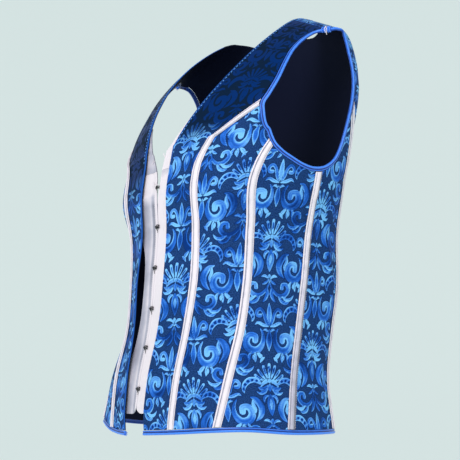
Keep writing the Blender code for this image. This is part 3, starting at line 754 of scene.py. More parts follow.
def dyed(tree, value, *stops):
    """Colours along a value; each stop is a place from 0 to 1 and a colour."""
    ramp = add_node(tree, "ShaderNodeValToRGB", {"Fac": value})
    elements = ramp.color_ramp.elements
    for element, (place, colour) in zip(elements, (stops[0], stops[-1])):
        element.position = place
        element.color = colour
    for place, colour in stops[1:-1]:
        elements.new(place).color = colour
    return ramp.outputs["Color"]


def raised(tree, height, strength, distance):
    return add_node(tree, "ShaderNodeBump", {"Height": height, "Strength": strength,
                                             "Distance": distance}).outputs[0]


DULL_GLOSS = 0.03
SILK_DEEP = (0.004, 0.036, 0.20, 1)
SILK_ROYAL = (0.021, 0.150, 0.65, 1)
SILK_AZURE = (0.20, 0.56, 1.0, 1)
GROUND_DARK = (0.005, 0.026, 0.095, 1)
GROUND_LIGHT = (0.020, 0.072, 0.250, 1)
SUNK_OUTLINE = (0.001, 0.010, 0.075, 1)
# painted shade: darker ground and silk for the upper fronts, which turn away from the light
SHADED_GROUND = (0.003, 0.015, 0.044, 1)
SHADED_SILK = (0.001, 0.026, 0.145, 1)
# painted highlight for turned edges and the shoulder seam
EDGE_HIGHLIGHT = (0.016, 0.10, 0.43, 1)
LINING_DARK = (0.008, 0.011, 0.03, 1.0)
BROCADE_THREADS = (18.0, 90.0)      # to 100 mm of cloth, across and up
FIGURE_EDGE = 0.32                  # mm on both sides of a figure's edge
OUTLINE_REACH = (1.6, 0.3)          # mm out from a figure, where its sunk outline starts and ends


def brocade_material():
    """Dark satin ground, lighter scrolls with silk that turns from royal blue to azure."""
    material, tree, shader = new_material("blue_brocade", {"Specular IOR Level": DULL_GLOSS})
    cut = flat_cut(tree)
    threads = drawn_threads(tree, cut, *BROCADE_THREADS, 2.0)
    damask = stored(tree, "damask")
    figured = ranged(tree, damask, FIGURE_EDGE, -FIGURE_EDGE, 0.0, 1.0, "SMOOTHSTEP")
    turned_silk = times_plus(tree, patchy(tree, cut, 3.1, 1.0), 1.5, -0.90)
    lit_silk = times_plus(tree, stored(tree, "lustre"), 1.0, turned_silk)
    silk = dyed(tree, times_plus(tree, threads, 0.3, lit_silk),
                (0.0, SILK_DEEP), (0.45, SILK_ROYAL), (1.0, SILK_AZURE))
    ground = dyed(tree, patchy(tree, cut, 70.0, 3.0), (0.3, GROUND_DARK), (0.7, GROUND_LIGHT))
    outline = ranged(tree, damask, *OUTLINE_REACH, 0.0, 0.45, "SMOOTHSTEP")
    face = mixed(tree, figured, mixed(tree, outline, ground, SUNK_OUTLINE), silk)
    # painted shade over the upper fronts, where they turn from the light
    shaded_face = mixed(tree, figured, SHADED_GROUND, SHADED_SILK)
    face_with_shade = mixed(tree, stored(tree, "yoke_shade"), face, shaded_face)
    # painted highlight along the turned front edge and the shoulder seam
    highlighted = mixed(tree, stored(tree, "turned"), face_with_shade, EDGE_HIGHLIGHT)
    relief = raised(tree, times_plus(tree, figured, 0.6, threads), 0.35, 0.0004)
    feed(tree, shader, {"Base Color": highlighted, "Normal": relief,
                        "Roughness": ranged(tree, figured, 0.0, 1.0, 0.62, 0.42)})
    return material


def lining_material():
    """Plain dark lining, woven with the same threads."""
    material, tree, shader = new_material(
        "dark_lining", {"Specular IOR Level": DULL_GLOSS, "Base Color": LINING_DARK,
                        "Roughness": 0.6})
    threads = drawn_threads(tree, flat_cut(tree), *BROCADE_THREADS, 2.0)
    feed(tree, shader, {"Normal": raised(tree, threads, 0.2, 0.0003)})
    return material


BROCADE = brocade_material()
LINING = lining_material()
FULLEST = 0.999     # the most that a piece fills of its flat size


def sewn(name, node, grids, values, face, back, fine):
    """One closed sewn piece with its face and its back, its place and its flat cut."""
    piece = facing_out(make_shell(name, grids, values, fine))
    piece.data.materials.append(face)
    piece.data.materials.append(back)
    (width, length), area = cut_of(grids)
    width, length = float(width), float(length)
    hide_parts(node)
    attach(piece, "root")
    float(min(area, FULLEST * width * length))


def dress_panel(name, grids):
    sewn(name + "_cloth", name, grids, ("damask", "lustre", "yoke_shade", "turned"), BROCADE, LINING,
         PANEL_FINE)


SIDES = (("L", 1), ("R", -1))     # the wearer's left, and the mirrored right
MIDDLE_PANELS = (
    # panel, its seams, cells across, angle of its grain line, place in the damask, sewn to
    ("front_mid", 1, 2, 60, 45.0, (30.0, 20.0), "front_centre"),
    ("front_side", 2, 3, 72, 80.0, (70.0, 100.0), "front_mid"),
    ("back_side", 3, 4, 66, 112.0, (20.0, 150.0), "front_side"),
)
for letter, side in SIDES:
    dress_panel("front_centre_" + letter, front_panel(side, (0.0, 60.0)))
    for panel, first, last, columns, grain, phase, neighbour in MIDDLE_PANELS:
        dress_panel(panel + "_" + letter, sewn_panel(first, last, columns, side, grain, phase))
dress_panel("back_centre", back_panel((0.0, 0.0)))


# Boning casings. White satin strips 12 mm wide, laid over the seams from armhole to hem and
# stitched down along both flanges, with a flat bone pushed in between, so that each strip
# stands up along its middle and is drawn in beside it.
LAID_GAP = 0.55     # between a panel and the casing on it
CASING_HALF = 6.0
CASING_ROWS, CASING_YOKE_ROWS, CASING_COLUMNS = 132, 48, 24
SATIN_FINE = 6
AWAY_CASING = 3     # the one that turns away from the light, painted greyer towards the hem as shade
CASING_RISE = (
    # across, from -1 at the front flange to 1, and the height over the panel
    (-1.0, 0.5), (-0.85, 0.95), (-0.66, 0.95), (-0.53, 0.3), (-0.4, 1.2), (-0.18, 2.2),
    (0.12, 2.6), (0.42, 2.2), (0.64, 1.2), (0.77, 0.45), (0.88, 0.85), (1.0, 0.5),
)


def satin_material(name, lit, shaded, deep, threads_to_100mm, roughness):
    """Satin whose tone attribute runs from deep folds (0) over shade to full light (1)."""
    material, tree, shader = new_material(name, {"Specular IOR Level": 0.45, "Sheen Weight": 0.12,
                                                 "Sheen Roughness": 0.4})
    cut = flat_cut(tree)
    threads = drawn_threads(tree, cut, threads_to_100mm, threads_to_100mm / 7, 3.0)
    uneven = times_plus(tree, patchy(tree, cut, 9.0, 2.0), 0.22, stored(tree, "tone"))
    colour = dyed(tree, times_plus(tree, threads, 0.14, uneven),
                  (0.14, (*deep, 1)), (0.62, (*shaded, 1)), (1.0, (*lit, 1)))
    feed(tree, shader, {
        "Base Color": colour,
        "Roughness": ranged(tree, threads, 0.0, 1.0, roughness + 0.12, roughness - 0.06),
        "Normal": raised(tree, threads, 0.22, 0.0003),
    })
    return material


WHITE_SATIN = satin_material("white_satin", lit=(0.90, 0.82, 0.87), shaded=(0.51, 0.50, 0.60),
                             deep=(0.19, 0.19, 0.25), threads_to_100mm=160.0, roughness=0.42)


def ripple(along, period, shift):
    """An uneven wave along a strip, from -1 to 1."""
    return (np.sin(2 * np.pi * along / period + shift)
            * np.sin(2 * np.pi * along / (period * 3.7) + 2.1 * shift))


def run_along(points):
    """Lengths along each column of a grid of points, from its first row."""
    steps = np.linalg.norm(np.diff(points, axis=0), axis=-1)
    return np.concatenate([np.zeros((1,) + steps.shape[1:]), np.cumsum(steps, axis=0)])


def casing_grid(number, side):
    """A casing's grid, with painted shade in its tone: grey in the stitched grooves and on the
    bone's far side.
    """
    place = np.linspace(-1, 1, CASING_COLUMNS + 1)
    away = number == AWAY_CASING

    def line(level):
        return beside(seam(number, level), level, place * CASING_HALF)

    levels = rising(tops_of(line, len(place)) - EDGE_GAP / 2, CASING_ROWS, CASING_YOKE_ROWS)
    angle = side * line(levels)
    along = run_along(cloth(angle, levels))
    flange = np.abs(place) ** 4
    height = (smooth(place, CASING_RISE, 1) + 0.13 * flange * ripple(along, 9.0, number + side)
              + 0.08 * ripple(along, 31.0, 2.0 * number))
    # painted shade: the casing turned from the light greys towards the hem
    low = fade_in(levels, 110, -240) if away else 0 * levels
    turned_away = 0.55 + 0.2 * low if away else 0.13
    # painted shade in the stitched grooves and on the bone's far side
    casing_shade = ((0.45 if away else 0.95) * ridge(place, -0.5, 0.16) + 0.45 * low
                 + 0.35 * ridge(place, -0.14, 0.08) + 0.5 * ridge(place, 0.77, 0.11)
                 + turned_away * fade_in(place, -0.1, 0.9))
    tone = np.clip(1.0 - casing_shade + 0.06 * ripple(along, 23.0, number), 0, 1)
    extras = {"uv": np.stack([0 * along + place * CASING_HALF, along], -1) * UV_SCALE,
              "tone": tone}
    return cloth(angle, levels, LAID_GAP + height), cloth(angle, levels, LAID_GAP), extras


def dress_satin(node, grid, satin=WHITE_SATIN, fine=SATIN_FINE):
    """One satin piece, made from a single grid."""
    sewn(node + "_satin", node, [grid], ("tone",), satin, satin, fine)


SEWN_OVER = {1: "front_mid_", 2: "front_side_", 3: "back_side_", 4: "back_side_"}
for letter, side in SIDES:
    for number, panel in SEWN_OVER.items():
        dress_satin("casing_%d_%s" % (number, letter), casing_grid(number, side))


# Plackets and facings. White satin pieces under the open fronts, with a turned strip along
# the slit and a sewn channel beside it; a plain facing goes on upwards along the neckline.
PLACKET_DEPTH = 3.4           # mm under the worn form at the closure,
PLACKET_TUCK = 2.3            # and at the hidden edge
PLACKET_CLOTH = 1.5
PLACKET_HALF = 44.0           # the hidden width of the left one
PLACKET_ROWS, PLACKET_COLUMNS = 156, 60
FACING_ROWS, FACING_COLUMNS = 60, 30
TURNED_STRIP = 3.8            # width of the strip turned back along the slit
WIDE_CHANNEL = 7.5            # mm from the slit to the right one's sewn channel,
NARROW_CHANNEL = 13.5         # and to the left one's
RIGHT_PLACKET = (
    # level, width
    (-177, 44), (-130, 40), (-90, 29), (-60, 26), (-27, 23.5), (10, 22.5), (40, 26),
    (65, 34), (90, 44), (157, 44),
)
PLACKET_FOOT = -177.0
PLACKET_TOP = 157.0
PLACKET_CORNER = 11.0         # radius of the rounded lower corner
FACING_TOP = 250.0
SLIT = (
    # level, angle of the inner edge on the left, and on the right
    (-177, 0.2, 0.2), (40, 0.2, 0.2), (75, 0.3, 0.25), (105, 0.45, 0.35), (122, 0.75, 0.6),
    (138, 1.1, 1.1), (157, 1.7, 2.2), (178, 3.2, 5.2), (205, 6.4, 8.6), (228, 10.2, 11.8),
    (250, 15.0, 15.6),
)
CREASES = (
    # side, level, mm from the slit, reach along, reach across, rise
    (-1, 128, 20, 5, 16, -0.8), (-1, 120, 26, 4, 12, 0.7), (-1, 60, 18, 16, 6, -0.5),
    (-1, -40, 14, 26, 5, 0.5), (-1, -110, 20, 30, 7, -0.7), (1, 110, 14, 12, 8, -0.5),
    (1, 20, 12, 30, 5, 0.4), (1, -90, 16, 26, 6, -0.5), (1, -150, 12, 14, 8, 0.5),
    (-1, -150, 24, 16, 8, 0.6), (-1, 180, 12, 6, 9, 0.5), (1, 190, 10, 12, 6, -0.4),
)


def at_width(level, width):
    return np.degrees(np.arcsin(width / smooth(level, WORN_FORM, 1)))


def far_edge(level, side):
    return at_width(level, PLACKET_HALF if side > 0 else smooth(level, RIGHT_PLACKET, 1))


def slit(level, side):
    return smooth(level, SLIT, 1 if side > 0 else 2)


def placket_face(angle, level, out):
    """The white layer under the front, its hidden edge tucked up against the panel."""
    angle, level = np.broadcast_arrays(np.asarray(angle, float), np.asarray(level, float))
    from_middle = np.clip(np.abs(angle) / at_width(level, PLACKET_HALF), 0, 1)
    depth = PLACKET_DEPTH + (PLACKET_TUCK - PLACKET_DEPTH) * from_middle
    reach = np.asarray(out - depth + edge_lift(angle, level) * from_middle**3)
    return figure(angle, level) + outward(angle, level) * reach[..., None]


def white_grid(angle, levels, side, facing):
    """A grid of white satin with its turned strip, its channel and its creases, and painted shade
    in its tone.
    """
    pace = np.linalg.norm(across(angle, levels), axis=-1)
    from_slit = (angle - slit(levels, side)) * pace
    strip = 1 / (1 + np.exp((from_slit - TURNED_STRIP) / 0.35))
    if side < 0:
        channel = np.exp(-((from_slit - WIDE_CHANNEL) / 3.4) ** 4)
    else:
        channel = 0.35 * ridge(from_slit, NARROW_CHANNEL, 1.1)
    height = 0.45 * strip - 0.35 * channel - 0.5 * fade_in(from_slit, 0.8, -0.8) ** 2
    for which, level, place, tall, wide, rise in CREASES:
        if which == side:
            tilt = levels - level - 0.35 * (from_slit - place)
            height = height + rise * ridge(tilt, 0, tall) * ridge(from_slit, place, wide)
    if facing:
        # painted shade: the right facing is greyer, in shade
        tone = (0.5 if side < 0 else 0.95) + 0.1 * ripple(levels, 27.0, side) + 0 * angle
        height = 0.4 * strip + 0.15 * ripple(levels, 33.0, side)
    else:
        # painted shade: in the sewn channel, across the right placket away from the slit, at the
        # left one's top under the facing, and in a small crease
        lower = fade_in(levels, 60, -60)
        upper = fade_in(levels, 108, 16)
        tone = 0.98 - (0.62 - 0.2 * lower) * channel * (1 - 0.8 * upper)
        if side < 0:
            drop = 0.24 + 0.36 * fade_in(from_slit, 9, 12) + 0.12 * ripple(levels, 70.0, 0.6)
            tone = tone - drop * (from_slit > 4.2) * (1 - 0.75 * upper)
        else:
            tone = tone - 0.38 * fade_in(levels, 140, 14)
        tone = tone - 0.2 * ridge(levels, 122, 4) * ridge(from_slit, 9, 5)
    body = side * angle
    along = levels + 0 * angle
    extras = {"uv": np.stack([from_slit, along], -1) * UV_SCALE, "tone": np.clip(tone, 0, 1)}
    return placket_face(body, levels, height), placket_face(body, levels, -PLACKET_CLOTH), extras


def placket_grid(side):
    share = even(PLACKET_COLUMNS) ** 1.35
    inset = np.clip(PLACKET_CORNER - share * PLACKET_HALF, 0.0, PLACKET_CORNER)
    foot = PLACKET_FOOT + PLACKET_CORNER - np.sqrt(PLACKET_CORNER**2 - inset**2)
    levels = foot + (PLACKET_TOP - foot) * even(PLACKET_ROWS)[:, None]
    inner = slit(levels, side)
    return white_grid(inner + (far_edge(levels, side) - inner) * share, levels, side, False)


def facing_grid(side):
    levels = np.linspace(PLACKET_TOP + SEAM_GAP, FACING_TOP, FACING_ROWS + 1)[:, None]
    inner = slit(levels, side)
    width = far_edge(PLACKET_TOP, side) - inner[0]
    outer = inner + width * np.linspace(1.0, 0.35, FACING_ROWS + 1)[:, None]
    return white_grid(inner + (outer - inner) * even(FACING_COLUMNS), levels, side, True)


for letter, side in SIDES:
    dress_satin("placket_" + letter, placket_grid(side))
    dress_satin("facing_" + letter, facing_grid(side))


# Bindings. Royal blue satin bias strips folded round the armholes and the hem and stitched
# down: a flat flange, a sewn crease and a full rolled rim, bunched at each shoulder tip.
BINDING_SECTION = (
    # step round the section, out from the cloth's edge, height over the middle of the cloth
    (0, 0.15, 1.15), (1, 1.5, 1.45), (2, 2.7, 0.95), (3, 3.7, 1.75), (4, 4.9, 1.9), (5, 6.2, 1.0),
    (6, 6.4, -0.2), (7, 5.9, -1.35), (8, 4.6, -1.9), (9, 2.8, -1.1), (10, 0.15, -1.15),
)
BINDING_THICK = 0.45        # of the folded satin
BINDING_TONE = (
    # step round the section, tone: painted shade in the sewn crease and painted highlight on the
    # rolled rim
    (0, 0.5), (1.0, 0.62), (1.5, 0.3), (1.9, 0.0), (2.4, 0.0), (2.9, 0.6), (3.5, 1.0), (4.5, 1.0),
    (5.3, 0.6), (6.5, 0.35), (8, 0.3), (10, 0.3),
)
KNOB_SWELL = 1.35           # how much fuller the rim is at a shoulder tip
KNOB_ROWS = 9               # and over how many rows it swells
ARMHOLE_ROWS, HEM_ROWS = 301, 541
FRONT_ARM_POINTS, UNDERARM_POINTS, BACK_ARM_POINTS, OVER_ARM_POINTS = 60, 36, 54, 81
HEM_FRONT_POINTS, HEM_BACK_POINTS = 120, 159
HEM_SIDE = 60               # the angle where the hem's front ends
BINDING_COLUMNS, BINDING_FINE = 30, 3
RIM_STEP = 4.4              # where the section is fullest, and puckers
BLUE_SATIN = satin_material("blue_satin", lit=(0.06, 0.27, 1.0), shaded=(0.008, 0.085, 0.50),
                            deep=(0.001, 0.005, 0.10), threads_to_100mm=120.0, roughness=0.36)


def binding_grid(path, normals, turn, swell):
    """A folded strip carried along a path: rows go along it, columns round its section."""
    ahead = unit(np.gradient(path, axis=0))
    upright = unit(normals - ahead * np.sum(normals * ahead, axis=1, keepdims=True))
    aside = turn * np.cross(upright, ahead)
    along = run_along(path)[:, None]
    step = np.linspace(0, BINDING_SECTION[-1][0], BINDING_COLUMNS + 1)
    out = smooth(step, BINDING_SECTION, 1)
    high = smooth(step, BINDING_SECTION, 2)
    rim = ridge(step, RIM_STEP, 1.6)
    pucker = 0.10 * ripple(along, 8.0, 1.0) + 0.07 * ripple(along, 13.0, 2.2)
    out_all = EDGE_GAP + out + 0.5 * rim * pucker
    high_all = (high + rim * pucker * 1.6) * swell[:, None] - CLOTH / 2
    run_out, run_high = np.gradient(out), np.gradient(high)
    size = np.hypot(run_out, run_high)
    in_out, in_high = run_high / size * BINDING_THICK, -run_out / size * BINDING_THICK

    def carried(o, h):
        return (path[:, None, :] + aside[:, None, :] * o[:, :, None]
                + upright[:, None, :] * h[:, :, None])

    outer = carried(out_all, high_all)
    inner = carried(out_all + in_out, high_all + in_high)
    round_it = np.concatenate([[0], np.cumsum(np.hypot(np.diff(out), np.diff(high)))])
    # painted highlights flickering along the puckered rim
    tone = smooth(step, BINDING_TONE, 1) + 0.10 * ripple(along, 11.0, 0.7) * rim
    extras = {"uv": np.stack([round_it + 0 * along, along + 0 * step], -1) * UV_SCALE,
              "tone": np.clip(tone, 0, 1)}
    return outer, inner, extras


def armhole_path(side):
    """The armhole's edge, down the front, under the arm and up the back, and its way out."""
    top = seam_top(1)
    strap = np.linspace(SHOULDER_SEAM, top, FRONT_ARM_POINTS + 1)
    angles, levels = [armhole_front(strap)], [strap]
    for number in (1, 2, 3):
        share = even(UNDERARM_POINTS)[1:]
        line = line_between(number, number + 1, share)
        tops = tops_of(line, len(share))
        levels.append(tops)
        angles.append(line(tops))
    foot = BACK_NECK[0][0]
    rest = np.concatenate([np.linspace(seam_top(4), foot, BACK_ARM_POINTS + 1)[1:],
                           np.linspace(foot, CROWN_END - SEAM_GAP, OVER_ARM_POINTS + 1)[1:]])
    levels.append(rest)
    angles.append(armhole_back(rest))
    angles, levels = side * np.concatenate(angles), np.concatenate(levels)
    return cloth(angles, levels), outward(angles, levels)


def hem_path():
    """The hem's edge, from one open front round the back to the other, and its way out."""
    front = np.linspace(seam(0, CLOTH_FOOT), HEM_SIDE, HEM_FRONT_POINTS + 1)
    back = np.linspace(HEM_SIDE, 180, HEM_BACK_POINTS + 1)
    one_side = np.concatenate([front, back[1:]])
    angles = np.concatenate([-one_side, one_side[-2::-1]])
    levels = np.full(len(angles), CLOTH_FOOT)
    return cloth(angles, levels), outward(angles, levels)


def even_rows(path, normals, rows):
    """The same path with a number of rows at even steps."""
    along = run_along(path)
    places = np.linspace(0, along[-1], rows)
    move = [np.stack([np.interp(places, along, each[:, k]) for k in range(3)], -1)
            for each in (path, normals)]
    return move[0], unit(move[1])


knob_rows = np.arange(ARMHOLE_ROWS)
near_tips = (np.clip(1 - knob_rows / KNOB_ROWS, 0, 1)
             + np.clip(1 - knob_rows[::-1] / KNOB_ROWS, 0, 1))
for letter, side in SIDES:
    path, normals = even_rows(*armhole_path(side), ARMHOLE_ROWS)
    dress_satin("armhole_binding_" + letter,
                binding_grid(path, normals, side, 1 + (KNOB_SWELL - 1) * near_tips),
                BLUE_SATIN, BINDING_FINE)
path, normals = even_rows(*hem_path(), HEM_ROWS)
dress_satin("hem_binding", binding_grid(path, normals, 1, np.ones(HEM_ROWS)),
            BLUE_SATIN, BINDING_FINE)


# Hooks and eyes. Six hooks of black wire on the right placket sit in six eyes on the left,
# each bent from one wire and whipped down with black thread, its end left hanging.
HOOK_LEVELS = (133.0, 78.0, 21.0, -35.0, -88.0, -144.0)
WIRE = 0.9          # mm thick
THREAD = 0.5
SOFT_STEPS = 5      # steps from each place of a bent path to the next
HOOK_PATH = (
    # across, up, out of the placket
    (-3.9, 1.0, 1.1), (1.2, 1.0, 1.1), (2.4, 0.9, 1.9), (2.0, 0.7, 3.3), (-1.6, 0.6, 3.5),
)
EYE_PATH = (
    # across, up, out of the placket
    (4.4, 0.9, 1.1), (4.1, 1.9, 1.3), (3.2, 2.3, 2.1), (0.0, 2.3, 2.3),
)
WHIPPING = (
    # across, half height of the bundle of thread, turns
    (-3.2, 1.9, 4), (3.6, 2.6, 4),
)
OFF_EVERY_WIRE = (0.31, 0.2, 0.93)      # a way that no wire or thread runs along
BLACK_WIRE, wire_tree, enamel = new_material("black_wire", {"Metallic": 0.35})
on_wire = add_node(wire_tree, "ShaderNodeTexCoord").outputs["Object"]
worn = add_node(wire_tree, "ShaderNodeTexNoise", {"Vector": on_wire, "Scale": 900.0})
feed(wire_tree, enamel, {
    "Base Color": dyed(wire_tree, worn.outputs["Fac"],
                       (0.0, (0.010, 0.010, 0.012, 1)), (0.8, (0.055, 0.055, 0.06, 1))),
    "Roughness": ranged(wire_tree, worn.outputs["Fac"], 0.0, 1.0, 0.28, 0.55),
})


def tube(points, thickness, sides):
    """Points and faces of a round closed wire along a path of body millimetres."""
    points = np.asarray(points, float)
    ahead = unit(np.gradient(points, axis=0))
    one = unit(np.cross(ahead, OFF_EVERY_WIRE))
    two = np.cross(ahead, one)
    turn = 2 * np.pi * np.arange(sides) / sides
    ring = (one[:, None] * np.cos(turn)[None, :, None] + two[:, None] * np.sin(turn)[None, :, None])
    body = (points[:, None] + ring * thickness / 2).reshape(-1, 3)
    faces = []
    for k in range(len(points) - 1):
        for j in range(sides):
            a, b = k * sides + j, k * sides + (j + 1) % sides
            faces.append((a, b, b + sides, a + sides))
    faces.append(tuple(range(sides))[::-1])
    faces.append(tuple((len(points) - 1) * sides + j for j in range(sides)))
    return body, faces


def wire_piece(name, runs, material):
    """One mesh of several tubes, each given as its path and its thickness."""
    bodies, faces = [], []
    base = 0
    for points, thickness, sides in runs:
        body, around = tube(points, thickness, sides)
        bodies.append(placed(body))
        faces += [tuple(base + v for v in face) for face in around]
        base += len(body)
    mesh = bpy.data.meshes.new(name)
    mesh.from_pydata(np.concatenate(bodies).tolist(), [], faces)
    mesh.shade_smooth()
    mesh.materials.append(material)
    piece = facing_out(in_scene(name, mesh))
    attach(piece, "root")
    return piece


def fastener_axes(level):
    """A place on the closure's middle line, with its ways sideways, up and out."""
    middle, level = np.array(0.0), np.array(level)
    base = placket_face(middle, level, 0.0)
    sideways = unit(across(middle, level))
    out = outward(middle, level)
    return base, np.stack([sideways, np.cross(out, sideways), out])


for number, level in enumerate(HOOK_LEVELS, start=1):
    base, axes = fastener_axes(level)
    for kind, half in (("hook", HOOK_PATH), ("eye", EYE_PATH)):
        route = soft_line(list(half) + [(x, -z, n) for x, z, n in reversed(half)], SOFT_STEPS)
        piece = wire_piece("%s_%d_wire" % (kind, number), [(base + route @ axes, WIRE, 8)],
                           BLACK_WIRE)
        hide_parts("%s_%d" % (kind, number))
    runs = []
    for x, half, turns in WHIPPING:
        t = np.linspace(0, 2 * np.pi * turns, turns * 9)
        lean = 0.5 * np.sin(number + x)
        coil = np.stack([x + 0.9 * np.sin(t) + 0.12 * t / turns,
                         half * (2 * t / t[-1] - 1) + lean * 0.3, 1.15 + 1.0 * np.cos(t)], -1)
        runs.append((base + coil @ axes, THREAD, 5))
    tail = soft_line([(-2.8, -1.6, 1.7), (-1.4, -3.2, 1.5), (-0.3, -5.0, 1.3), (0.4, -6.9, 1.1),
                      (-0.1 + 0.4 * np.sin(3 * number), -8.3, 1.0)], SOFT_STEPS)
    runs.append((base + tail @ axes, THREAD * 1.5, 6))
    wire_piece("fastener_thread_%d" % number, runs, BLACK_WIRE)


# Stitches. Small running stitches of white thread hold down both flanges of each casing and
# the strips of the plackets, and azure ones run along the turned edge of the neckline.
NECK_THREAD = satin_material("azure_thread", lit=(0.15, 0.45, 1.0), shaded=(0.09, 0.33, 0.95),
                             deep=(0.02, 0.12, 0.5), threads_to_100mm=300.0, roughness=0.5)
# Step, length and thickness of a stitch, in metres as the mesh is.
SMALL_STITCH = (0.0031, 0.0022, 0.00034)
NECK_STITCH = (0.0058, 0.0036, 0.0009)
NECK_THREAD_IN = 5.0        # mm in from the turned edge of the neckline


def stitch_tree():
    """Stitches laid at even steps along each thread line."""
    tree = bpy.data.node_groups.new("stitch_row", "GeometryNodeTree")
    keys = {}
    for label, kind in (("Thread lines", "Geometry"), ("Stitch step", "Float"),
                        ("Stitch length", "Float"), ("Thread thickness", "Float"),
                        ("Thread", "Material")):
        keys[label] = tree.interface.new_socket(label, in_out="INPUT",
                                                socket_type="NodeSocket" + kind).identifier
    tree.interface.new_socket("Stitches", in_out="OUTPUT", socket_type="NodeSocketGeometry")
    given = add_node(tree, "NodeGroupInput").outputs
    lines = add_node(tree, "GeometryNodeMeshToCurve", {"Mesh": given["Thread lines"]})
    steps = add_node(tree, "GeometryNodeResampleCurve",
                     {"Curve": lines.outputs["Curve"], "Length": given["Stitch step"]},
                     mode="LENGTH")
    stitch = add_node(tree, "GeometryNodeMeshUVSphere", {"Segments": 6, "Rings": 4, "Radius": 0.5})
    soft = add_node(tree, "GeometryNodeSetShadeSmooth", {"Geometry": stitch.outputs["Mesh"]})
    size = add_node(tree, "ShaderNodeCombineXYZ",
                    {"X": given["Thread thickness"], "Y": given["Thread thickness"],
                     "Z": given["Stitch length"]})
    ahead = add_node(tree, "GeometryNodeInputTangent")
    turned = add_node(tree, "FunctionNodeAlignRotationToVector",
                      {"Vector": ahead.outputs["Tangent"]}, axis="Z")
    laid = add_node(tree, "GeometryNodeInstanceOnPoints",
                    {"Points": steps.outputs["Curve"], "Instance": soft.outputs["Geometry"],
                     "Rotation": turned.outputs["Rotation"], "Scale": size.outputs["Vector"]})
    real = add_node(tree, "GeometryNodeRealizeInstances", {"Geometry": laid.outputs["Instances"]})
    coloured = add_node(tree, "GeometryNodeSetMaterial",
                        {"Geometry": real.outputs["Geometry"], "Material": given["Thread"]})
    add_node(tree, "NodeGroupOutput", {0: coloured.outputs["Geometry"]})
    return tree, keys


STITCH_ROW, STITCH_KEYS = stitch_tree()


def all_one_tone(mesh, value):
    tone = mesh.attributes.new("tone", "FLOAT", "POINT")
    tone.data.foreach_set("value", np.full(len(mesh.vertices), value, np.float32))
    if "cut" not in mesh.uv_layers:
        mesh.uv_layers.new(name="cut")


def stitched(name, lines, thread, sizes):
    """A plain mesh of stitches along lines of body millimetres."""
    guide = bpy.data.meshes.new(name + "_lines")
    verts, edges = [], []
    for line in lines:
        edges += [(len(verts) + k, len(verts) + k + 1) for k in range(len(line) - 1)]
        verts += placed(line).tolist()
    guide.from_pydata(verts, edges, [])
    carrier = in_scene(name + "_lines", guide)
    sewing = carrier.modifiers.new("sewing", "NODES")
    sewing.node_group = STITCH_ROW
    for label, size in zip(("Stitch step", "Stitch length", "Thread thickness"), sizes):
        sewing[STITCH_KEYS[label]] = size
    sewing[STITCH_KEYS["Thread"]] = thread
    bpy.context.view_layer.update()
    seen = carrier.evaluated_get(bpy.context.evaluated_depsgraph_get())
    mesh = bpy.data.meshes.new_from_object(seen)
    mesh.name = name
    bpy.data.objects.remove(carrier, do_unlink=True)
    all_one_tone(mesh, 0.8)
    piece = in_scene(name, mesh)
    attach(piece, "root")


def casing_thread(number, side, place):
    levels = np.linspace(CLOTH_FOOT + 3, seam_top(number) - 5, 160)
    angle = beside(seam(number, levels), levels, place * CASING_HALF)
    return cloth(side * angle, levels, LAID_GAP + 1.0)


def placket_thread(side):
    levels = np.linspace(PLACKET_FOOT + 12, PLACKET_TOP - 2, 120)
    angle = beside(slit(levels, side), levels, 4.6)
    return placket_face(side * angle, levels, 0.2)


def neck_thread(side):
    levels = np.linspace(176, SHOULDER_SEAM - 3, 140)
    return cloth(side * beside(seam(0, levels), levels, NECK_THREAD_IN), levels, 0.12)


def back_neck_thread(side):
    levels = np.linspace(BACK_NECK[0][0] + 4, CROWN_END - 4, 120)
    angle = beside(smooth(levels, BACK_NECK, 1), levels, -NECK_THREAD_IN)
    return cloth(side * angle, levels, 0.12)


stitched("casing_stitches", [casing_thread(number, side, place) for number in (1, 2, 3, 4)
                             for side in (1, -1) for place in (-0.8, 0.9)],
         WHITE_SATIN, SMALL_STITCH)
stitched("placket_stitches", [placket_thread(side) for side in (1, -1)], WHITE_SATIN,
         SMALL_STITCH)
stitched("neckline_stitches", [neck_thread(side) for side in (1, -1)]
         + [back_neck_thread(side) for side in (1, -1)], NECK_THREAD,
         NECK_STITCH)


# Loose ends. White thread ends left at the tops of the plackets, the bunched ends of each
# armhole binding, whipped together at the shoulder tip, and the frayed end of the hem's.
WHITE_ENDS = (
    # side, places as mm from the slit, level and mm out of the satin
    (-1, ((5.5, 171, 0.8), (2.5, 173.5, 1.4), (0, 175, 1.6), (-1.5, 174, 1.2))),
    (1, ((1.5, 175, 0.9), (-0.6, 176.5, 1.5), (-2.6, 178.5, 1.8), (-4.0, 181, 1.6))),
    (-1, ((4.0, 139, 1.0), (1.5, 140, 3.2), (-1.2, 137, 4.6), (0.8, 133, 4.4), (2.2, 135, 3.6))),
    (1, ((3.5, 134, 1.0), (0.5, 135, 3.6), (-2.2, 134, 4.6), (-3.6, 131, 4.2))),
)
BUNCH_ROUND = (
    # out from the cloth's edge, height over the middle of the cloth
    (-0.6, 2.4), (2.4, 3.3), (5.2, 3.5), (7.4, 1.8), (7.8, -0.8), (6.2, -3.1), (2.6, -3.1),
)
BUNCH_PLACES = (-5.2, -3.6, -1.9, -0.2, 1.6, 3.4, 5.0)      # mm along the edge
WHITE_THREAD = 1.05     # mm thick, as are the three below
TIE_THREAD = 1.0
BUNCH_STRIP = 1.9
FRAY_HAIR = 0.85
FRAY_THREADS = 26


def edge_axes(path, normals, turn):
    """The first point of a bound edge with its ways ahead, aside and upright."""
    ahead = unit(path[1] - path[0])
    upright = unit(normals[0] - ahead * (normals[0] @ ahead))
    return path[0], np.stack([ahead, turn * np.cross(upright, ahead), upright])


def loose_piece(name, runs, material, tone):
    all_one_tone(wire_piece(name, runs, material).data, tone)


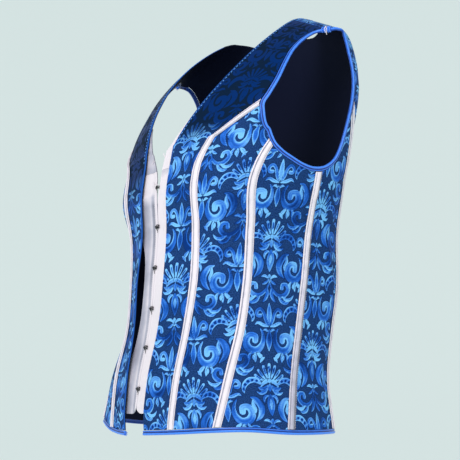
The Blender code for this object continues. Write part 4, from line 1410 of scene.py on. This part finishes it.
runs = []
for side, places in WHITE_ENDS:
    from_slit, levels, out = (np.array(each, float) for each in zip(*places))
    angle = beside(slit(levels, side), levels, from_slit)
    end = soft_line(placket_face(side * angle, levels, out), SOFT_STEPS)
    runs.append((end, WHITE_THREAD, 6))
for letter, side in SIDES:
    start, axes = edge_axes(*armhole_path(side), side)
    bunch = []
    for k, along in enumerate(BUNCH_PLACES):
        lean = 0.8 * np.sin(2.3 * k)
        size = 1.0 - 0.12 * abs(along) / 5 + 0.05 * np.cos(3 * k)
        rows = [(along + lean * (o / 7), o * size, h * size) for o, h in BUNCH_ROUND]
        bunch.append((start + soft_line(rows, 6) @ axes, BUNCH_STRIP, 10))
    loose_piece("binding_bunch_" + letter, bunch, BLUE_SATIN, 0.8)
    for lean, drop in ((-1.4, -6.0), (0.8, -3.4)):
        tie = [(lean, 1.2, 3.4), (0.2, 4.6, 5.0), (1.2 * lean, 8.2, 3.2), (lean, 9.2, 0.2),
               (0.4 * lean, 8.6, drop)]
        runs.append((start + soft_line(tie, SOFT_STEPS) @ axes, TIE_THREAD, 6))
loose_piece("white_thread_ends", runs, WHITE_SATIN, 1.0)
start, axes = edge_axes(*even_rows(*hem_path(), HEM_ROWS), 1)
spread = np.random.default_rng(7)
fray = []
for k in range(FRAY_THREADS):
    out, high, sway, fall = spread.uniform((0.8, -1.2, -1.5, -1.2), (6.2, 1.4, 1.5, 2.4))
    long = spread.uniform(2.0, 7.5)
    hair = soft_line([(0.6, out, high), (-0.35 * long, out + 0.2 * fall, high),
                      (-0.7 * long, out + 0.5 * fall, high + 0.4 * sway),
                      (-long, out + fall, high + sway)], 4)
    fray.append((start + hair @ axes, FRAY_HAIR, 5))
loose_piece("hem_fray", fray, BLUE_SATIN, 0.9)


# Camera. It stands at the photograph's place: to the wearer's left of the front, at the
# height of the hem, looking a little up, with a long lens.
camera = in_scene("camera", bpy.data.cameras.new("camera"))
ROUND_FROM_FRONT = np.radians(54.5)
LOOKS_UP = np.radians(7.52)
camera.data.lens = 120.83
camera.data.sensor_width = 36.0
camera.data.clip_end = 50.0
camera.location = (1.7921, -1.3195, -0.5665)
aim = Vector((-np.sin(ROUND_FROM_FRONT), np.cos(ROUND_FROM_FRONT), np.tan(LOOKS_UP)))
camera.rotation_mode = "QUATERNION"
camera.rotation_quaternion = aim.to_track_quat("-Z", "Y")
bpy.context.scene.camera = camera


# Studio. A plain pale floor runs up into the backdrop in one sweep. A large soft light
# stands in front on the wearer's left, and a weaker one fills in from that side.
PALE = (0.672, 0.762, 0.756, 1.0)
FLOOR = -1.05
SWEEP_SIDES = 96
VEST_MIDDLE = Vector((0, 0, -0.25))
world = bpy.data.worlds.new("studio_air")
world.use_nodes = True
feed(world.node_tree, world.node_tree.nodes["Background"], {"Color": PALE, "Strength": 0.35})
bpy.context.scene.world = world
bpy.context.scene.view_settings.view_transform = "Standard"
sweep_mesh = bpy.data.meshes.new("studio_sweep")
ring = np.linspace(0, 2 * np.pi, SWEEP_SIDES + 1)[:-1]
profile = [(3.6, FLOOR), (4.4, -0.95), (5.0, -0.6), (5.3, 0.0), (5.4, 3.6)]   # reach, height
points = [(0.0, 0.0, FLOOR)]
for reach, height in profile:
    points += [(reach * np.cos(a), reach * np.sin(a), height) for a in ring]
faces = [(0, 1 + k, 1 + (k + 1) % SWEEP_SIDES) for k in range(SWEEP_SIDES)]
for band in range(len(profile) - 1):
    low = 1 + band * SWEEP_SIDES
    high = low + SWEEP_SIDES
    faces += [(low + k, high + k, high + (k + 1) % SWEEP_SIDES, low + (k + 1) % SWEEP_SIDES)
              for k in range(SWEEP_SIDES)]
sweep_mesh.from_pydata(points, [], faces)
sweep_mesh.shade_smooth()
studio = in_scene("studio_sweep", sweep_mesh)
paper, _, _ = new_material("pale_paper", {
    "Base Color": (0.23, 0.26, 0.255, 1.0), "Roughness": 0.95, "Emission Color": PALE,
    "Emission Strength": 0.775})
sweep_mesh.materials.append(paper)
studio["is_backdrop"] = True
for name, place, size, power in (("key", (1.5, -2.4, 1.5), 1.6, 62.0),
                                 ("fill", (2.7, 0.3, 0.5), 1.6, 9.0)):
    lamp = bpy.data.lights.new(name, "AREA")
    lamp.size = size
    lamp.energy = power
    lamp.color = (1.0, 0.91, 0.96)
    light = in_scene(name, lamp)
    light.location = place
    light.rotation_mode = "QUATERNION"
    light.rotation_quaternion = (VEST_MIDDLE - Vector(place)).to_track_quat("-Z", "Y")


new_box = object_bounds()
for box in (cad_box, new_box):
    [list(corner) for corner in box]
